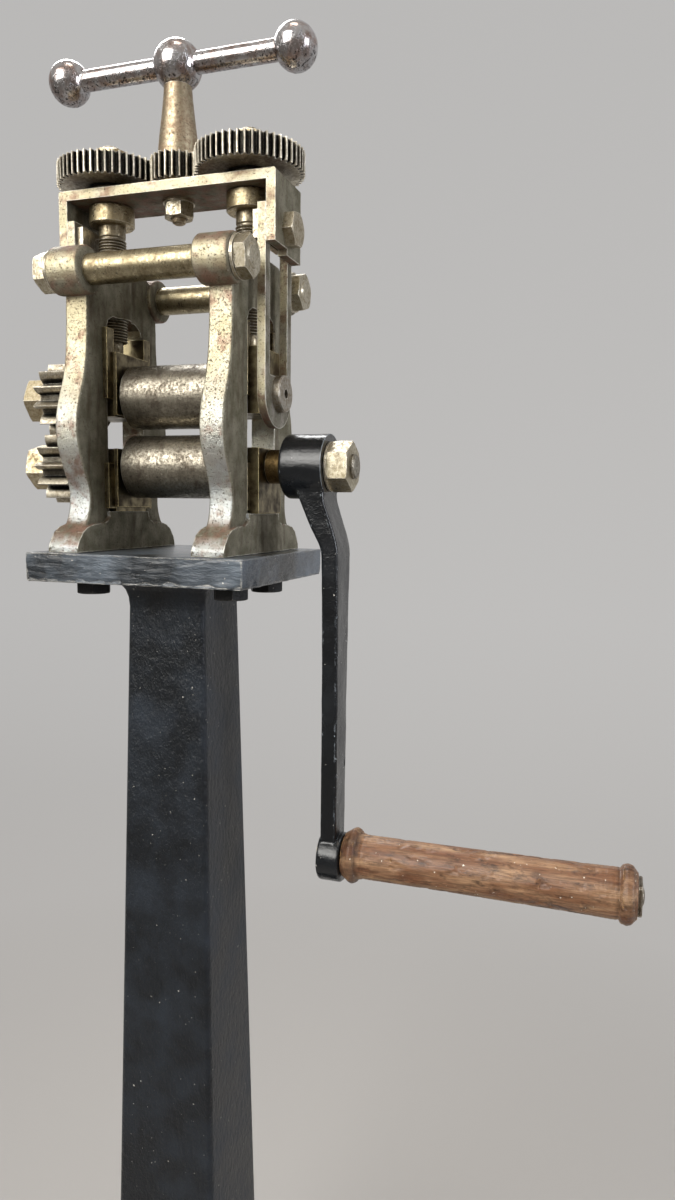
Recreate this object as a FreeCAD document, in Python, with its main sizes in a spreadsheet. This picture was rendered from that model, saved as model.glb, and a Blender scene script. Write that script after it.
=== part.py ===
"""Jewellers rolling mill on a post stand, as separate pieces.

The mill has two hardened rolls in two cast side frames. A crank turns the
lower roll, and long-toothed gears on the far side turn the upper roll. A T
handle turns two pressure screws through spur gears, and the screws carry a
bridge that lifts and lowers the upper roll.

Frame: +Z up, +X towards the crank, -Y towards the person who stands at the
mill. The origin is the centre of the floor plate's underside. Lengths are in
millimetres.
"""

import FreeCAD, Part
import math
import os

import Sketcher

# Driving sizes
# Each entry is: word, size in millimetres or a count, what it is.

SIZES = [
    ("plate_top", 800.0, "height of the mounting plate's top above the floor"),
    ("floor_side", 320.0, "side of the square floor plate"),
    ("floor_thick", 12.0, "thickness of the floor plate"),
    ("floor_bolt", 130.0, "floor bolt holes from the middle, along X and Y"),
    ("floor_hole", 7.0, "radius of a floor bolt hole"),
    ("post_top_x", 29.6, "half width of the post at the top, along X"),
    ("post_top_y", 29.0, "half width of the post at the top, along Y"),
    ("post_foot_x", 46.2, "half width of the post at the floor, along X"),
    ("post_foot_y", 44.6, "half width of the post at the floor, along Y"),
    ("post_shift", 4.1, "middle of the post behind the mill's middle"),
    ("post_wall", 5.0, "wall of the hollow post"),
    ("post_round", 4.0, "corner radius of the post"),
    ("flare_high", 20.0, "height of the flare under the mounting plate"),
    ("flare_out", 8.0, "how far the flare spreads"),
    ("plate_x", 161.5, "mounting plate along X"),
    ("plate_y", 149.7, "mounting plate along Y"),
    ("plate_shift", 3.05, "middle of the mounting plate behind the mill's middle"),
    ("plate_thick", 20.0, "mounting plate thickness"),
    ("mill_bolt_y", 31.0, "mill bolts from the middle, along Y"),
    ("mill_bolt_r", 6.0, "mill bolt shank radius"),
    ("mill_bolt_flats", 22.0, "across flats of a mill bolt's head"),
    ("mill_bolt_head", 8.5, "thickness of a mill bolt's head"),
    ("mill_bolt_up", 14.0, "mill bolt length inside the frame's foot"),
    ("frame_x", 54.0, "middle of a side frame from the mill's middle"),
    ("frame_thick", 18.0, "side frame thickness"),
    ("foot_thick", 23.5, "side frame thickness at the foot"),
    ("foot_half", 66.0, "half length of a frame's foot, along Y"),
    ("head_top", 202.5, "top of the frame's head above the plate"),
    ("window_half", 23.5, "half width of the frame's window"),
    ("window_low", 28.0, "bottom of the window above the plate"),
    ("window_high", 165.0, "top of the window above the plate"),
    ("tie_y", 47.3, "tie bolts from the middle, along Y"),
    ("tie_z", 188.8, "tie bolts above the plate"),
    ("tie_boss_r", 16.0, "radius of a tie bolt boss"),
    ("tie_boss_x", 26.0, "length of a tie bolt boss"),
    ("tie_r", 8.0, "tie bolt radius"),
    ("tie_flats", 24.0, "across flats of the tie bolts and their nuts"),
    ("tie_end", 78.0, "end of a tie bolt from the mill's middle"),
    ("tube_r", 10.1, "outside radius of a spacer tube"),
    ("screw_boss_r", 13.0, "radius of the pressure screw boss"),
    ("liner_thick", 3.5, "thickness of a window liner"),
    ("liner_out", 3.5, "how far a liner stands in from the frame"),
    ("liner_edge", 28.7, "half width over the liners' flanges"),
    ("low_liner_low", 30.2, "bottom of a lower liner above the plate"),
    ("low_liner_high", 62.0, "top of a lower liner above the plate"),
    ("high_liner_low", 107.0, "bottom of an upper liner above the plate"),
    ("high_liner_high", 155.3, "top of an upper liner above the plate"),
    ("slide_gap", 0.05, "clearance of a sliding or turning fit"),
    ("block_in", 38.5, "inner face of a bearing block"),
    ("block_out", 69.5, "outer face of a bearing block"),
    ("flange_half", 22.0, "half width of a block's inner flange"),
    ("lower_axis", 60.3, "lower roll's axis above the plate"),
    ("upper_axis", 109.7, "upper roll's axis above the plate, as shown"),
    ("lower_block_top", 12.1, "top of a lower block above its roll axis"),
    ("upper_block_drop", 14.7, "bottom of an upper block below its roll axis"),
    ("upper_block_rise", 29.8, "top of an upper block above its roll axis"),
    ("roll_r", 22.5, "radius of a roll"),
    ("roll_half", 36.6, "half length of a roll's working face"),
    ("journal_r", 10.0, "radius of a roll's journals"),
    ("roll_left", 124.0, "left end of both roll shafts"),
    ("lower_right", 133.0, "right end of the lower roll shaft"),
    ("upper_right", 60.0, "right end of the upper roll shaft"),
    ("sleeve_r", 12.0, "outside radius of the hanger sleeve"),
    ("key_side", 6.0, "side of a square key"),
    ("roll_gear_near", 80.2, "near face of the roll gears"),
    ("roll_gear_far", 105.8, "far face of the roll gears"),
    ("roll_gear_tip", 26.6, "tip radius of the roll gears"),
    ("roll_gear_root", 17.9, "root radius of the roll gears"),
    ("big_nut_flats", 30.0, "across flats of the nuts on the roll shafts"),
    ("big_nut_thick", 16.0, "thickness of the nuts at the roll gears"),
    ("crank_washer", 1.4, "thickness of the washer at the crank"),
    ("crank_nut_thick", 14.3, "thickness of the nut at the crank"),
    ("crank_stud_r", 8.4, "radius of the lower shaft in the crank's nut"),
    ("strap_thick", 5.9, "thickness of a strap"),
    ("strap_in", 69.6, "inner face of a strap"),
    ("strap_half", 23.2, "half width of a strap"),
    ("strap_top", 229.8, "top of a strap above the plate"),
    ("slot_half", 15.8, "half width of the long slot in a strap"),
    ("slot_low", 121.0, "bottom of the slot above the plate"),
    ("slot_high", 224.0, "top of the slot above the plate"),
    ("bridge_out", 82.2, "outer face of a bridge leg"),
    ("bridge_half", 23.1, "half width of the bridge, along Y"),
    ("bridge_top", 250.4, "top of the bridge above the plate"),
    ("bridge_thick", 6.7, "thickness of the bridge"),
    ("bridge_low", 205.0, "bottom of a bridge leg's front half"),
    ("bridge_step", 4.2, "how much lower the rear half of a leg reaches"),
    ("strap_bolt_z", 217.5, "strap bolts above the plate"),
    ("strap_bolt_r", 6.0, "strap bolt radius"),
    ("gear_module", 1.5, "tooth size of the screw gears"),
    ("gear_teeth", 48.0, "teeth of a screw gear"),
    ("pinion_teeth", 24.0, "teeth of the pinion"),
    ("gear_low", 256.0, "underside of a screw gear above the plate"),
    ("gear_high", 270.6, "top of a screw gear above the plate"),
    ("pinion_low", 254.5, "underside of the pinion above the plate"),
    ("pinion_high", 271.4, "top of the pinion above the plate"),
    ("shank_r", 9.5, "radius of a pressure screw in the bridge"),
    ("screw_r", 10.0, "outside radius of a pressure screw's thread"),
    ("screw_pitch", 2.0, "pitch of the pressure screw's thread"),
    ("thread_high", 221.0, "top of the thread above the plate"),
    ("thread_low", 150.0, "bottom of the thread above the plate"),
    ("neck_r", 8.0, "radius of a pressure screw in its gear"),
    ("collar_r", 16.0, "radius of a thrust collar"),
    ("collar_low", 230.7, "underside of a thrust collar above the plate"),
    ("spindle_r", 6.0, "radius of the handle's spindle in the bridge"),
    ("spindle_low", 228.2, "lower end of the spindle above the plate"),
    ("pinion_key", 4.0, "width of the pinion's key"),
    ("tenon_r", 6.0, "radius of the stem's tenon in the ball"),
    ("stem_r_low", 14.4, "radius of the handle's stem at the pinion"),
    ("stem_r_high", 9.6, "radius of the handle's stem at the top"),
    ("stem_high", 319.0, "top of the stem's cone above the plate"),
    ("bar_z", 332.8, "handle bar above the plate"),
    ("bar_r", 6.95, "radius of the handle bar"),
    ("bar_half", 86.8, "middle of a knob from the handle's axis"),
    ("ball_r", 16.8, "radius of the handle's middle ball"),
    ("knob_r", 15.1, "radius of a knob"),
    ("knob_half", 14.4, "half length of a knob along the bar"),
    ("hub_in", 83.0, "inner face of the crank's hub"),
    ("hub_out", 114.5, "outer face of the crank's hub"),
    ("hub_r", 22.4, "radius of the crank's hub"),
    ("arm_in", 112.6, "inner face of the crank's arm"),
    ("arm_out", 124.8, "outer face of the crank's arm"),
    ("crank_drop", 272.5, "grip's axis from the lower roll's axis"),
    ("eye_r", 17.6, "radius of the crank's end boss"),
    ("eye_low", 2.6, "how much lower than the grip's axis the boss is centred"),
    ("eye_in", 111.0, "inner face of the crank's end boss"),
    ("eye_out", 128.6, "outer face of the crank's end boss"),
    ("grip_in", 129.0, "inner end of the wooden grip"),
    ("grip_out", 325.0, "outer end of the wooden grip"),
    ("grip_r", 15.4, "radius of the wooden grip near the crank"),
    ("grip_r_out", 16.6, "radius of the wooden grip near its outer end"),
    ("bead_r", 19.4, "radius of the grip's end beads"),
    ("grip_pin_r", 5.0, "radius of the grip's spindle"),
    ("grip_plate", 27.6, "side of the square plate at the grip's end"),
]

doc = FreeCAD.newDocument("rolling_mill")
os.makedirs("parts", exist_ok=True)

sheet = doc.addObject("Spreadsheet::Sheet", "dims")
for row, (word, size, meaning) in enumerate(SIZES, start=1):
    sheet.set("A%d" % row, word)
    sheet.set("B%d" % row, str(size))
    sheet.set("C%d" % row, meaning)
    sheet.setAlias("B%d" % row, word)
doc.recompute()


class Dim:
    """A size together with the spreadsheet text that gives it."""

    def __init__(self, value, text):
        self.value = float(value)
        self.text = text

    def __add__(self, other):
        other = dim(other)
        return Dim(self.value + other.value, "(%s + %s)" % (self.text, other.text))

    def __sub__(self, other):
        other = dim(other)
        return Dim(self.value - other.value, "(%s - %s)" % (self.text, other.text))

    def __radd__(self, other):
        return dim(other) + self

    def __rsub__(self, other):
        return dim(other) - self

    def __mul__(self, factor):
        return Dim(self.value * factor, "(%s * %.9f)" % (self.text, factor))

    def __neg__(self):
        return self * -1.0


def dim(item):
    """Give a word of the sheet, a plain number or a size as a Dim."""
    if isinstance(item, Dim):
        return item
    if isinstance(item, str):
        return Dim(sheet.get(item), "dims." + item)
    return Dim(item, "%.6f" % item)


def plate(item):
    """Give a height above the mounting plate as a height above the floor."""
    return dim("plate_top") + item


PLANE_ROLES = {"XY": "XY_Plane", "XZ": "XZ_Plane", "YZ": "YZ_Plane"}
NODES = []


def new_body(label, x=0.0, y=0.0, z=0.0, turn=0.0):
    """Start a piece with its own name and placement, turned about +Z in degrees."""
    body = doc.addObject("PartDesign::Body", label)
    body.Label = label
    place(body, x, y, z, turn)
    NODES.append(body)
    return body


def place(item, x, y, z, turn=0.0):
    """Put an object at a position that follows the sheet."""
    rotation = FreeCAD.Rotation(FreeCAD.Vector(0, 0, 1), turn)
    spot = FreeCAD.Vector(dim(x).value, dim(y).value, dim(z).value)
    item.Placement = FreeCAD.Placement(spot, rotation)
    for axis, value in (("x", x), ("y", y), ("z", z)):
        item.setExpression("Placement.Base.%s" % axis, dim(value).text)


class Drawing:
    """A sketch on one of a body's own planes, held by sheet sizes."""

    def __init__(self, body, name, plane, offset=0.0):
        self.body = body
        self.sketch = body.newObject("Sketcher::SketchObject", name)
        role = PLANE_ROLES[plane]
        for feature in body.Origin.OriginFeatures:
            if feature.Role == role:
                self.sketch.AttachmentSupport = [(feature, "")]
        self.sketch.MapMode = "FlatFace"
        lift = dim(offset)
        vector = FreeCAD.Vector(0, 0, lift.value)
        self.sketch.AttachmentOffset = FreeCAD.Placement(vector, FreeCAD.Rotation())
        self.sketch.setExpression("AttachmentOffset.Base.z", lift.text)

    def pin(self, geometry, point, across, up):
        """Hold one point of the sketch at a position across and up."""
        pairs = (("DistanceX", -2, dim(across)), ("DistanceY", -1, dim(up)))
        for kind, axis, size in pairs:
            if abs(size.value) < 1e-7:
                hold = Sketcher.Constraint("PointOnObject", geometry, point, axis)
                self.sketch.addConstraint(hold)
                continue
            hold = Sketcher.Constraint(kind, -1, 1, geometry, point, size.value)
            index = self.sketch.addConstraint(hold)
            self.sketch.setExpression("Constraints[%d]" % index, size.text)

    def polygon(self, points):
        """Draw a closed outline of straight lines through the points."""
        spots = [(dim(a), dim(b)) for a, b in points]
        ends = [FreeCAD.Vector(a.value, b.value, 0) for a, b in spots]
        count = len(ends)
        lines = []
        for i in range(count):
            segment = Part.LineSegment(ends[i], ends[(i + 1) % count])
            lines.append(self.sketch.addGeometry(segment, False))
        for i in range(count):
            after = lines[(i + 1) % count]
            joint = Sketcher.Constraint("Coincident", lines[i], 2, after, 1)
            self.sketch.addConstraint(joint)
        for line, (a, b) in zip(lines, spots):
            self.pin(line, 1, a, b)
        return self

    def circle(self, across, up, radius):
        """Draw a circle about a point."""
        size = dim(radius)
        middle = FreeCAD.Vector(dim(across).value, dim(up).value, 0)
        normal = FreeCAD.Vector(0, 0, 1)
        ring = self.sketch.addGeometry(Part.Circle(middle, normal, size.value), False)
        self.pin(ring, 3, across, up)
        hold = Sketcher.Constraint("Radius", ring, size.value)
        index = self.sketch.addConstraint(hold)
        self.sketch.setExpression("Constraints[%d]" % index, size.text)
        return self

    def hexagon(self, across, up, flats, first=0.0):
        """Draw a hexagon from its size across flats."""
        across, up, flats = dim(across), dim(up), dim(flats)
        reach = 0.5 / math.cos(math.pi / 6.0)
        corners = []
        for i in range(6):
            angle = math.radians(first + 60.0 * i)
            side = flats * (reach * math.cos(angle))
            rise = flats * (reach * math.sin(angle))
            corners.append((across + side, up + rise))
        return self.polygon(corners)

    def outline(self, edges):
        """Draw free curves that close on each other."""
        for edge in edges:
            self.sketch.addGeometry(edge, False)
        count = len(edges)
        first = self.sketch.GeometryCount - count
        for i in range(count):
            here, there = first + i, first + (i + 1) % count
            for p in (1, 2):
                for q in (1, 2):
                    gap = self.sketch.getPoint(here, p) - self.sketch.getPoint(there, q)
                    if gap.Length < 1e-5:
                        joint = Sketcher.Constraint("Coincident", here, p, there, q)
                        self.sketch.addConstraint(joint)
        return self


def pad(drawing, length, name="pad"):
    """Raise a drawing by a length along its plane's own direction."""
    feature = drawing.body.newObject("PartDesign::Pad", name)
    feature.Profile = drawing.sketch
    feature.setExpression("Length", dim(length).text)
    drawing.sketch.Visibility = False
    doc.recompute()
    return feature


def pocket(drawing, length, name="pocket", upwards=False):
    """Sink a drawing by a length, against its plane's direction or along it."""
    feature = drawing.body.newObject("PartDesign::Pocket", name)
    feature.Profile = drawing.sketch
    feature.Reversed = upwards
    feature.setExpression("Length", dim(length).text)
    drawing.sketch.Visibility = False
    before = drawing.body.Shape.Volume
    doc.recompute()
    if feature.Shape.Volume > before - 1e-3:
        raise RuntimeError("%s of %s cuts nothing" % (name, drawing.body.Label))
    return feature


def revolve(drawing, axis, name="turning"):
    """Turn a drawing through a full circle about one of its own axes."""
    feature = drawing.body.newObject("PartDesign::Revolution", name)
    feature.Profile = drawing.sketch
    feature.ReferenceAxis = (drawing.sketch, [axis])
    feature.Angle = 360.0
    doc.recompute()
    return feature


def fillet(body, radius, wanted, name="rounding"):
    """Round the edges of a body that a test picks out."""
    names = []
    for number, edge in enumerate(body.Tip.Shape.Edges, start=1):
        if wanted(edge):
            names.append("Edge%d" % number)
    base = body.Tip
    feature = body.newObject("PartDesign::Fillet", name)
    feature.Base = (base, names)
    feature.Radius = radius
    body.Tip = feature
    doc.recompute()
    return feature


def chamfer(body, size, wanted, name="chamfer"):
    """Bevel the edges of a body that a test picks out."""
    names = []
    for number, edge in enumerate(body.Tip.Shape.Edges, start=1):
        if wanted(edge):
            names.append("Edge%d" % number)
    base = body.Tip
    feature = body.newObject("PartDesign::Chamfer", name)
    feature.Base = (base, names)
    feature.Size = size
    body.Tip = feature
    doc.recompute()
    return feature


def upright(edge, height):
    """Tell whether an edge stands straight up with a given height."""
    return abs(edge.BoundBox.ZLength - height) < 0.01 and abs(edge.Length - height) < 0.01


def level(edge, height):
    """Tell whether an open edge lies level at a given height."""
    spread = edge.BoundBox
    return spread.ZLength < 0.01 and abs(spread.ZMin - height) < 0.01 and not edge.isClosed()


def flat_and_tall(edge, height):
    """Tell whether an edge keeps one place along X and rises more than a height."""
    return edge.BoundBox.XLength < 0.01 and edge.BoundBox.ZLength > height


def flat_ring(edge, radius, away=None):
    """Tell whether an edge is a circle about X with a given radius and distance along X."""
    spread, round_trip = edge.BoundBox, 2.0 * math.pi * radius
    if away is not None and abs(abs(spread.XMin) - away) > 0.01:
        return False
    return spread.XLength < 0.01 and abs(edge.Length - round_trip) < 0.03 * round_trip


def crown(body, flats, ends, axis="H_Axis", bevel=1.4):
    """Turn the corners off a hexagon at its ends, each given with its way inward."""
    reach = 0.5 * dim(flats).value / math.cos(math.pi / 6.0)
    cone = Drawing(body, "crown", "XZ")
    for end, inward in ends:
        deep = dim(end) + inward * (bevel + 2.0) * 0.55
        corners = [(end, reach - bevel), (end, reach + 2.0), (deep, reach + 2.0)]
        if axis == "V_Axis":
            corners = [(radius, height) for height, radius in corners]
        cone.polygon(corners)
    groove = body.newObject("PartDesign::Groove", "crown_groove")
    groove.Profile = cone.sketch
    groove.ReferenceAxis = (cone.sketch, [axis])
    groove.Angle = 360.0
    cone.sketch.Visibility = False
    doc.recompute()


def turned_x(label, stations, x=0.0, y=0.0, z=0.0, turn=0.0):
    """Make a piece turned about an axis along X from (position, radius) stations."""
    body = new_body(label, x, y, z, turn)
    points = [(stations[0][0], 0.0)] + list(stations) + [(stations[-1][0], 0.0)]
    revolve(Drawing(body, "profile", "XZ").polygon(points), "H_Axis")
    return body


def turned_z(label, stations, x=0.0, y=0.0, z=0.0, turn=0.0):
    """Make a piece turned about an axis along Z from (radius, height) stations."""
    body = new_body(label, x, y, z, turn)
    points = [(0.0, stations[0][1])] + list(stations) + [(0.0, stations[-1][1])]
    revolve(Drawing(body, "profile", "XZ").polygon(points), "V_Axis")
    return body


def ring_x(label, inner, outer, start, end, x=0.0, y=0.0, z=0.0, turn=0.0):
    """Make a ring about an axis along X."""
    body = new_body(label, x, y, z, turn)
    points = [(start, inner), (start, outer), (end, outer), (end, inner)]
    revolve(Drawing(body, "profile", "XZ").polygon(points), "H_Axis")
    return body


def ring_z(label, inner, outer, start, end, x=0.0, y=0.0, z=0.0, turn=0.0):
    """Make a ring about an axis along Z."""
    body = new_body(label, x, y, z, turn)
    points = [(inner, start), (outer, start), (outer, end), (inner, end)]
    revolve(Drawing(body, "profile", "XZ").polygon(points), "V_Axis")
    return body


def group(label, shapes_of):
    """Keep several separate solids of one kind as one named piece."""
    joined = doc.addObject("Part::Compound", label)
    joined.Label = label
    joined.Links = shapes_of
    doc.recompute()
    NODES.append(joined)
    return joined


def gear_outline(teeth, module, tip, root, slack, angle=20.0, turn=0.0):
    """Give the corners of an involute gear whose first tooth points along +X.

    Each flank is set back by the slack so that a mating pair runs free.
    """
    pitch = 0.5 * teeth * module
    base = pitch * math.cos(math.radians(angle))
    involute_pitch = math.tan(math.radians(angle)) - math.radians(angle)
    half = math.pi / (2.0 * teeth) - slack / pitch
    flank = []
    steps = 6
    for i in range(steps + 1):
        start = max(base, root + 0.02)
        radius = start + (tip - start) * i / steps
        pressure = math.acos(min(1.0, base / radius))
        turned = math.tan(pressure) - pressure
        flank.append((radius, half + involute_pitch - turned))
    corners = []
    for tooth in range(int(teeth)):
        middle = 2.0 * math.pi * tooth / teeth + math.radians(turn)
        low = flank[0][1]
        side = [(root, low + 0.12 * (math.pi / teeth - low))] + flank
        for radius, away in side:
            corners.append((radius, middle - away))
        for radius, away in reversed(side):
            corners.append((radius, middle + away))
    return [(r * math.cos(a), r * math.sin(a)) for r, a in corners]


def gear_blank(name, corners, length, along):
    """Extrude a gear outline by a length along X or Z."""
    if along == "X":
        points = [FreeCAD.Vector(0, a, b) for a, b in corners]
        direction = FreeCAD.Vector(1, 0, 0)
    else:
        points = [FreeCAD.Vector(a, b, 0) for a, b in corners]
        direction = FreeCAD.Vector(0, 0, 1)
    face = doc.addObject("Part::Feature", name + "_outline")
    face.Shape = Part.Face(Part.makePolygon(points + points[:1]))
    blank = doc.addObject("Part::Extrusion", name + "_blank")
    blank.Base = face
    blank.Dir = direction
    blank.DirMode = "Custom"
    blank.Solid = True
    blank.setExpression("LengthFwd", dim(length).text)
    doc.recompute()
    return blank


def cylinder(name, radius, height, spot, along="Z"):
    """Make a plain cylinder that starts at a spot and runs along X or Z."""
    item = doc.addObject("Part::Cylinder", name)
    item.setExpression("Radius", dim(radius).text)
    item.setExpression("Height", dim(height).text)
    place(item, *spot)
    if along == "X":
        turned = FreeCAD.Rotation(FreeCAD.Vector(0, 1, 0), 90)
        item.Placement = FreeCAD.Placement(item.Placement.Base, turned)
    return item


def block(name, low, high):
    """Make a plain box between two corners."""
    item = doc.addObject("Part::Box", name)
    for side, start, end in zip(("Length", "Width", "Height"), low, high):
        item.setExpression(side, (dim(end) - start).text)
    place(item, *low)
    return item


def fused(name, items):
    """Join objects into one solid."""
    item = doc.addObject("Part::MultiFuse", name)
    item.Shapes = items
    item.Refine = True
    doc.recompute()
    return item


def cut_from(label, base, tools):
    """Cut tools out of a base, and keep what is left as a named piece."""
    tool = tools[0] if len(tools) == 1 else fused(label + "_tools", tools)
    item = doc.addObject("Part::Cut", label)
    item.Base = base
    item.Tool = tool
    item.Refine = True
    item.Label = label
    doc.recompute()
    NODES.append(item)
    return item


LOWER = plate("lower_axis")
UPPER = plate("upper_axis")
GAP = dim("slide_gap")


# Stand: floor plate, post and mounting plate


def make_floor_plate():
    """Square plate with four bolt holes."""
    body = new_body("floor_plate")
    half, thick = dim("floor_side") * 0.5, dim("floor_thick").value
    corners = [(-half, -half), (half, -half), (half, half), (-half, half)]
    drawing = Drawing(body, "outline", "XY").polygon(corners)
    for a in (-1.0, 1.0):
        for b in (-1.0, 1.0):
            hole = dim("floor_bolt")
            drawing.circle(hole * a, hole * b, "floor_hole")
    pad(drawing, "floor_thick")
    reach = half.value - 1.0
    fillet(body, 8.0, lambda e: upright(e, thick) and abs(e.BoundBox.XMin) > reach)
    chamfer(body, 1.0, lambda e: level(e, thick))


def rounded_section(body, name, height, half_x, half_y, radius):
    """Draw a level rectangle with round corners."""
    drawing = Drawing(body, name, "XY", height)
    a, b, r = dim(half_x).value, dim(half_y).value, radius
    edges = []
    p, q = a - r, b - r
    middles = [(p, q, 0), (-p, q, 90), (-p, -q, 180), (p, -q, 270)]
    for i, (mx, my, start) in enumerate(middles):
        first, last = math.radians(start), math.radians(start + 90)
        circle = Part.Circle(FreeCAD.Vector(mx, my, 0), FreeCAD.Vector(0, 0, 1), r)
        edges.append(Part.ArcOfCircle(circle, first, last))
        nx, ny, after = middles[(i + 1) % 4]
        turn = math.radians(after)
        here = (mx + r * math.cos(last), my + r * math.sin(last), 0)
        there = (nx + r * math.cos(turn), ny + r * math.sin(turn), 0)
        edges.append(Part.LineSegment(FreeCAD.Vector(*here), FreeCAD.Vector(*there)))
    drawing.outline(edges)
    return drawing.sketch


def make_post():
    """Hollow tapered post with a flare under the mounting plate."""
    body = new_body("stand_post", 0.0, "post_shift")
    foot, top = dim("floor_thick"), dim("plate_top") - "plate_thick"
    start = top - "flare_high"
    taper = (start.value - foot.value) / (top.value - foot.value)
    foot_x, foot_y = dim("post_foot_x").value, dim("post_foot_y").value
    narrow_x = foot_x + (dim("post_top_x").value - foot_x) * taper
    narrow_y = foot_y + (dim("post_top_y").value - foot_y) * taper
    spread = dim("flare_out").value
    high = dim("flare_high").value
    levels = [(foot, foot_x, foot_y)]
    for part, out in ((0.0, 0.0), (0.35, 0.07), (0.62, 0.26), (0.84, 0.6), (1.0, 1.0)):
        level = start + high * part
        levels.append((level, narrow_x + spread * out, narrow_y + spread * out))
    outer = [
        rounded_section(body, "outer_%d" % i, level, a, b, dim("post_round").value)
        for i, (level, a, b) in enumerate(levels)
    ]
    solid = body.newObject("PartDesign::AdditiveLoft", "outside")
    solid.Profile = outer[0]
    solid.Sections = outer[1:]
    solid.Ruled = True
    doc.recompute()
    wall = dim("post_wall").value
    inner = []
    for i, (level, a, b) in enumerate((levels[0], (top, narrow_x, narrow_y))):
        inner.append(rounded_section(body, "inner_%d" % i, level, a - wall, b - wall, 1.5))
    hollow = body.newObject("PartDesign::SubtractiveLoft", "inside")
    hollow.Profile = inner[0]
    hollow.Sections = inner[1:]
    hollow.Ruled = True
    doc.recompute()


def make_mounting_plate():
    """Thick plate on top of the post, with four clearance holes."""
    low = dim("plate_top") - "plate_thick"
    body = new_body("mounting_plate", 0.0, 0.0, low)
    a, shift, thick = dim("plate_x") * 0.5, dim("plate_shift"), dim("plate_thick").value
    near, far = shift - dim("plate_y") * 0.5, shift + dim("plate_y") * 0.5
    corners = [(-a, near), (a, near), (a, far), (-a, far)]
    drawing = Drawing(body, "outline", "XY").polygon(corners)
    for side in (-1.0, 1.0):
        for row in (-1.0, 1.0):
            spot = (dim("frame_x") * side, dim("mill_bolt_y") * row)
            drawing.circle(spot[0], spot[1], dim("mill_bolt_r") + GAP)
    pad(drawing, "plate_thick")
    reach = a.value - 1.0
    fillet(body, 1.2, lambda e: upright(e, thick) and abs(e.BoundBox.XMin) > reach)
    chamfer(body, 0.7, lambda e: level(e, 0.0) or level(e, thick))


def hex_bolt_z(name, flats, head, radius, length, spot):
    """Make a bolt that points up from its head's underside."""
    body = doc.addObject("PartDesign::Body", name)
    place(body, *spot)
    pad(Drawing(body, "head", "XY").hexagon(0.0, 0.0, flats), head, "head_pad")
    shank = Drawing(body, "shank", "XY", head).circle(0.0, 0.0, radius)
    pad(shank, length, "shank_pad")
    crown(body, flats, [(0.0, 1.0)], "V_Axis", 1.8)
    return body


def make_mill_bolts():
    """Four bolts that hold the side frames down from under the plate."""
    bolts, washers = [], []
    washer, head = 2.0, dim("mill_bolt_head")
    low = dim("plate_top") - "plate_thick" - washer
    for i, side in enumerate((-1.0, 1.0)):
        for j, row in enumerate((-1.0, 1.0)):
            x, y = dim("frame_x") * side, dim("mill_bolt_y") * row
            length = dim("plate_thick") + washer + "mill_bolt_up"
            spot = (x, y, low - head)
            name = "mill_bolt_%d%d" % (i, j)
            size = ("mill_bolt_flats", head, "mill_bolt_r", length)
            bolts.append(hex_bolt_z(name, *size, spot))
            ring = doc.addObject("PartDesign::Body", "mill_washer_%d%d" % (i, j))
            place(ring, x, y, low)
            drawing = Drawing(ring, "ring", "XY").circle(0.0, 0.0, 12.0)
            drawing.circle(0.0, 0.0, dim("mill_bolt_r") + GAP)
            pad(drawing, washer)
            washers.append(ring)
    group("mill_bolts", bolts)
    group("mill_washers", washers)


# Side frames

FRAME_SIDE = [
    (66.0, 4.0), (63.8, 8.0), (59.2, 14.0), (52.6, 18.4), (48.2, 25.0), (46.0, 36.0),
    (46.9, 44.0), (51.3, 54.0), (56.3, 65.0), (59.6, 76.0), (60.2, 87.0), (58.0, 99.0),
    (54.0, 110.0), (50.8, 119.0), (47.6, 135.0), (46.0, 156.0), (45.6, 172.0), (45.6, 184.0),
]


def frame_curve(flip):
    """Give the smooth edge of a frame's leg, mirrored in Y if asked."""
    sign = -1.0 if flip else 1.0
    points = [FreeCAD.Vector(sign * y, z, 0) for y, z in FRAME_SIDE]
    if flip:
        points.reverse()
    curve = Part.BSplineCurve()
    curve.interpolate(points)
    return curve


def smooth(points, first=None, last=None):
    """Give a smooth curve through the points, with set directions at its ends."""
    spots = [FreeCAD.Vector(a, b, 0) for a, b in points]
    curve = Part.BSplineCurve()
    if first is not None and last is not None:
        curve.interpolate(Points=spots, InitialTangent=first, FinalTangent=last)
    elif last is not None:
        start = (spots[1] - spots[0]).normalize()
        curve.interpolate(Points=spots, InitialTangent=start, FinalTangent=last)
    else:
        curve.interpolate(spots)
    return curve


def segment(start, end):
    """Give a straight edge of a sketch between two points."""
    return Part.LineSegment(FreeCAD.Vector(*start, 0), FreeCAD.Vector(*end, 0))


def arc_through(start, middle, end):
    """Give a round edge of a sketch through three points."""
    return Part.Arc(*[FreeCAD.Vector(a, b, 0) for a, b in (start, middle, end)])


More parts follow.
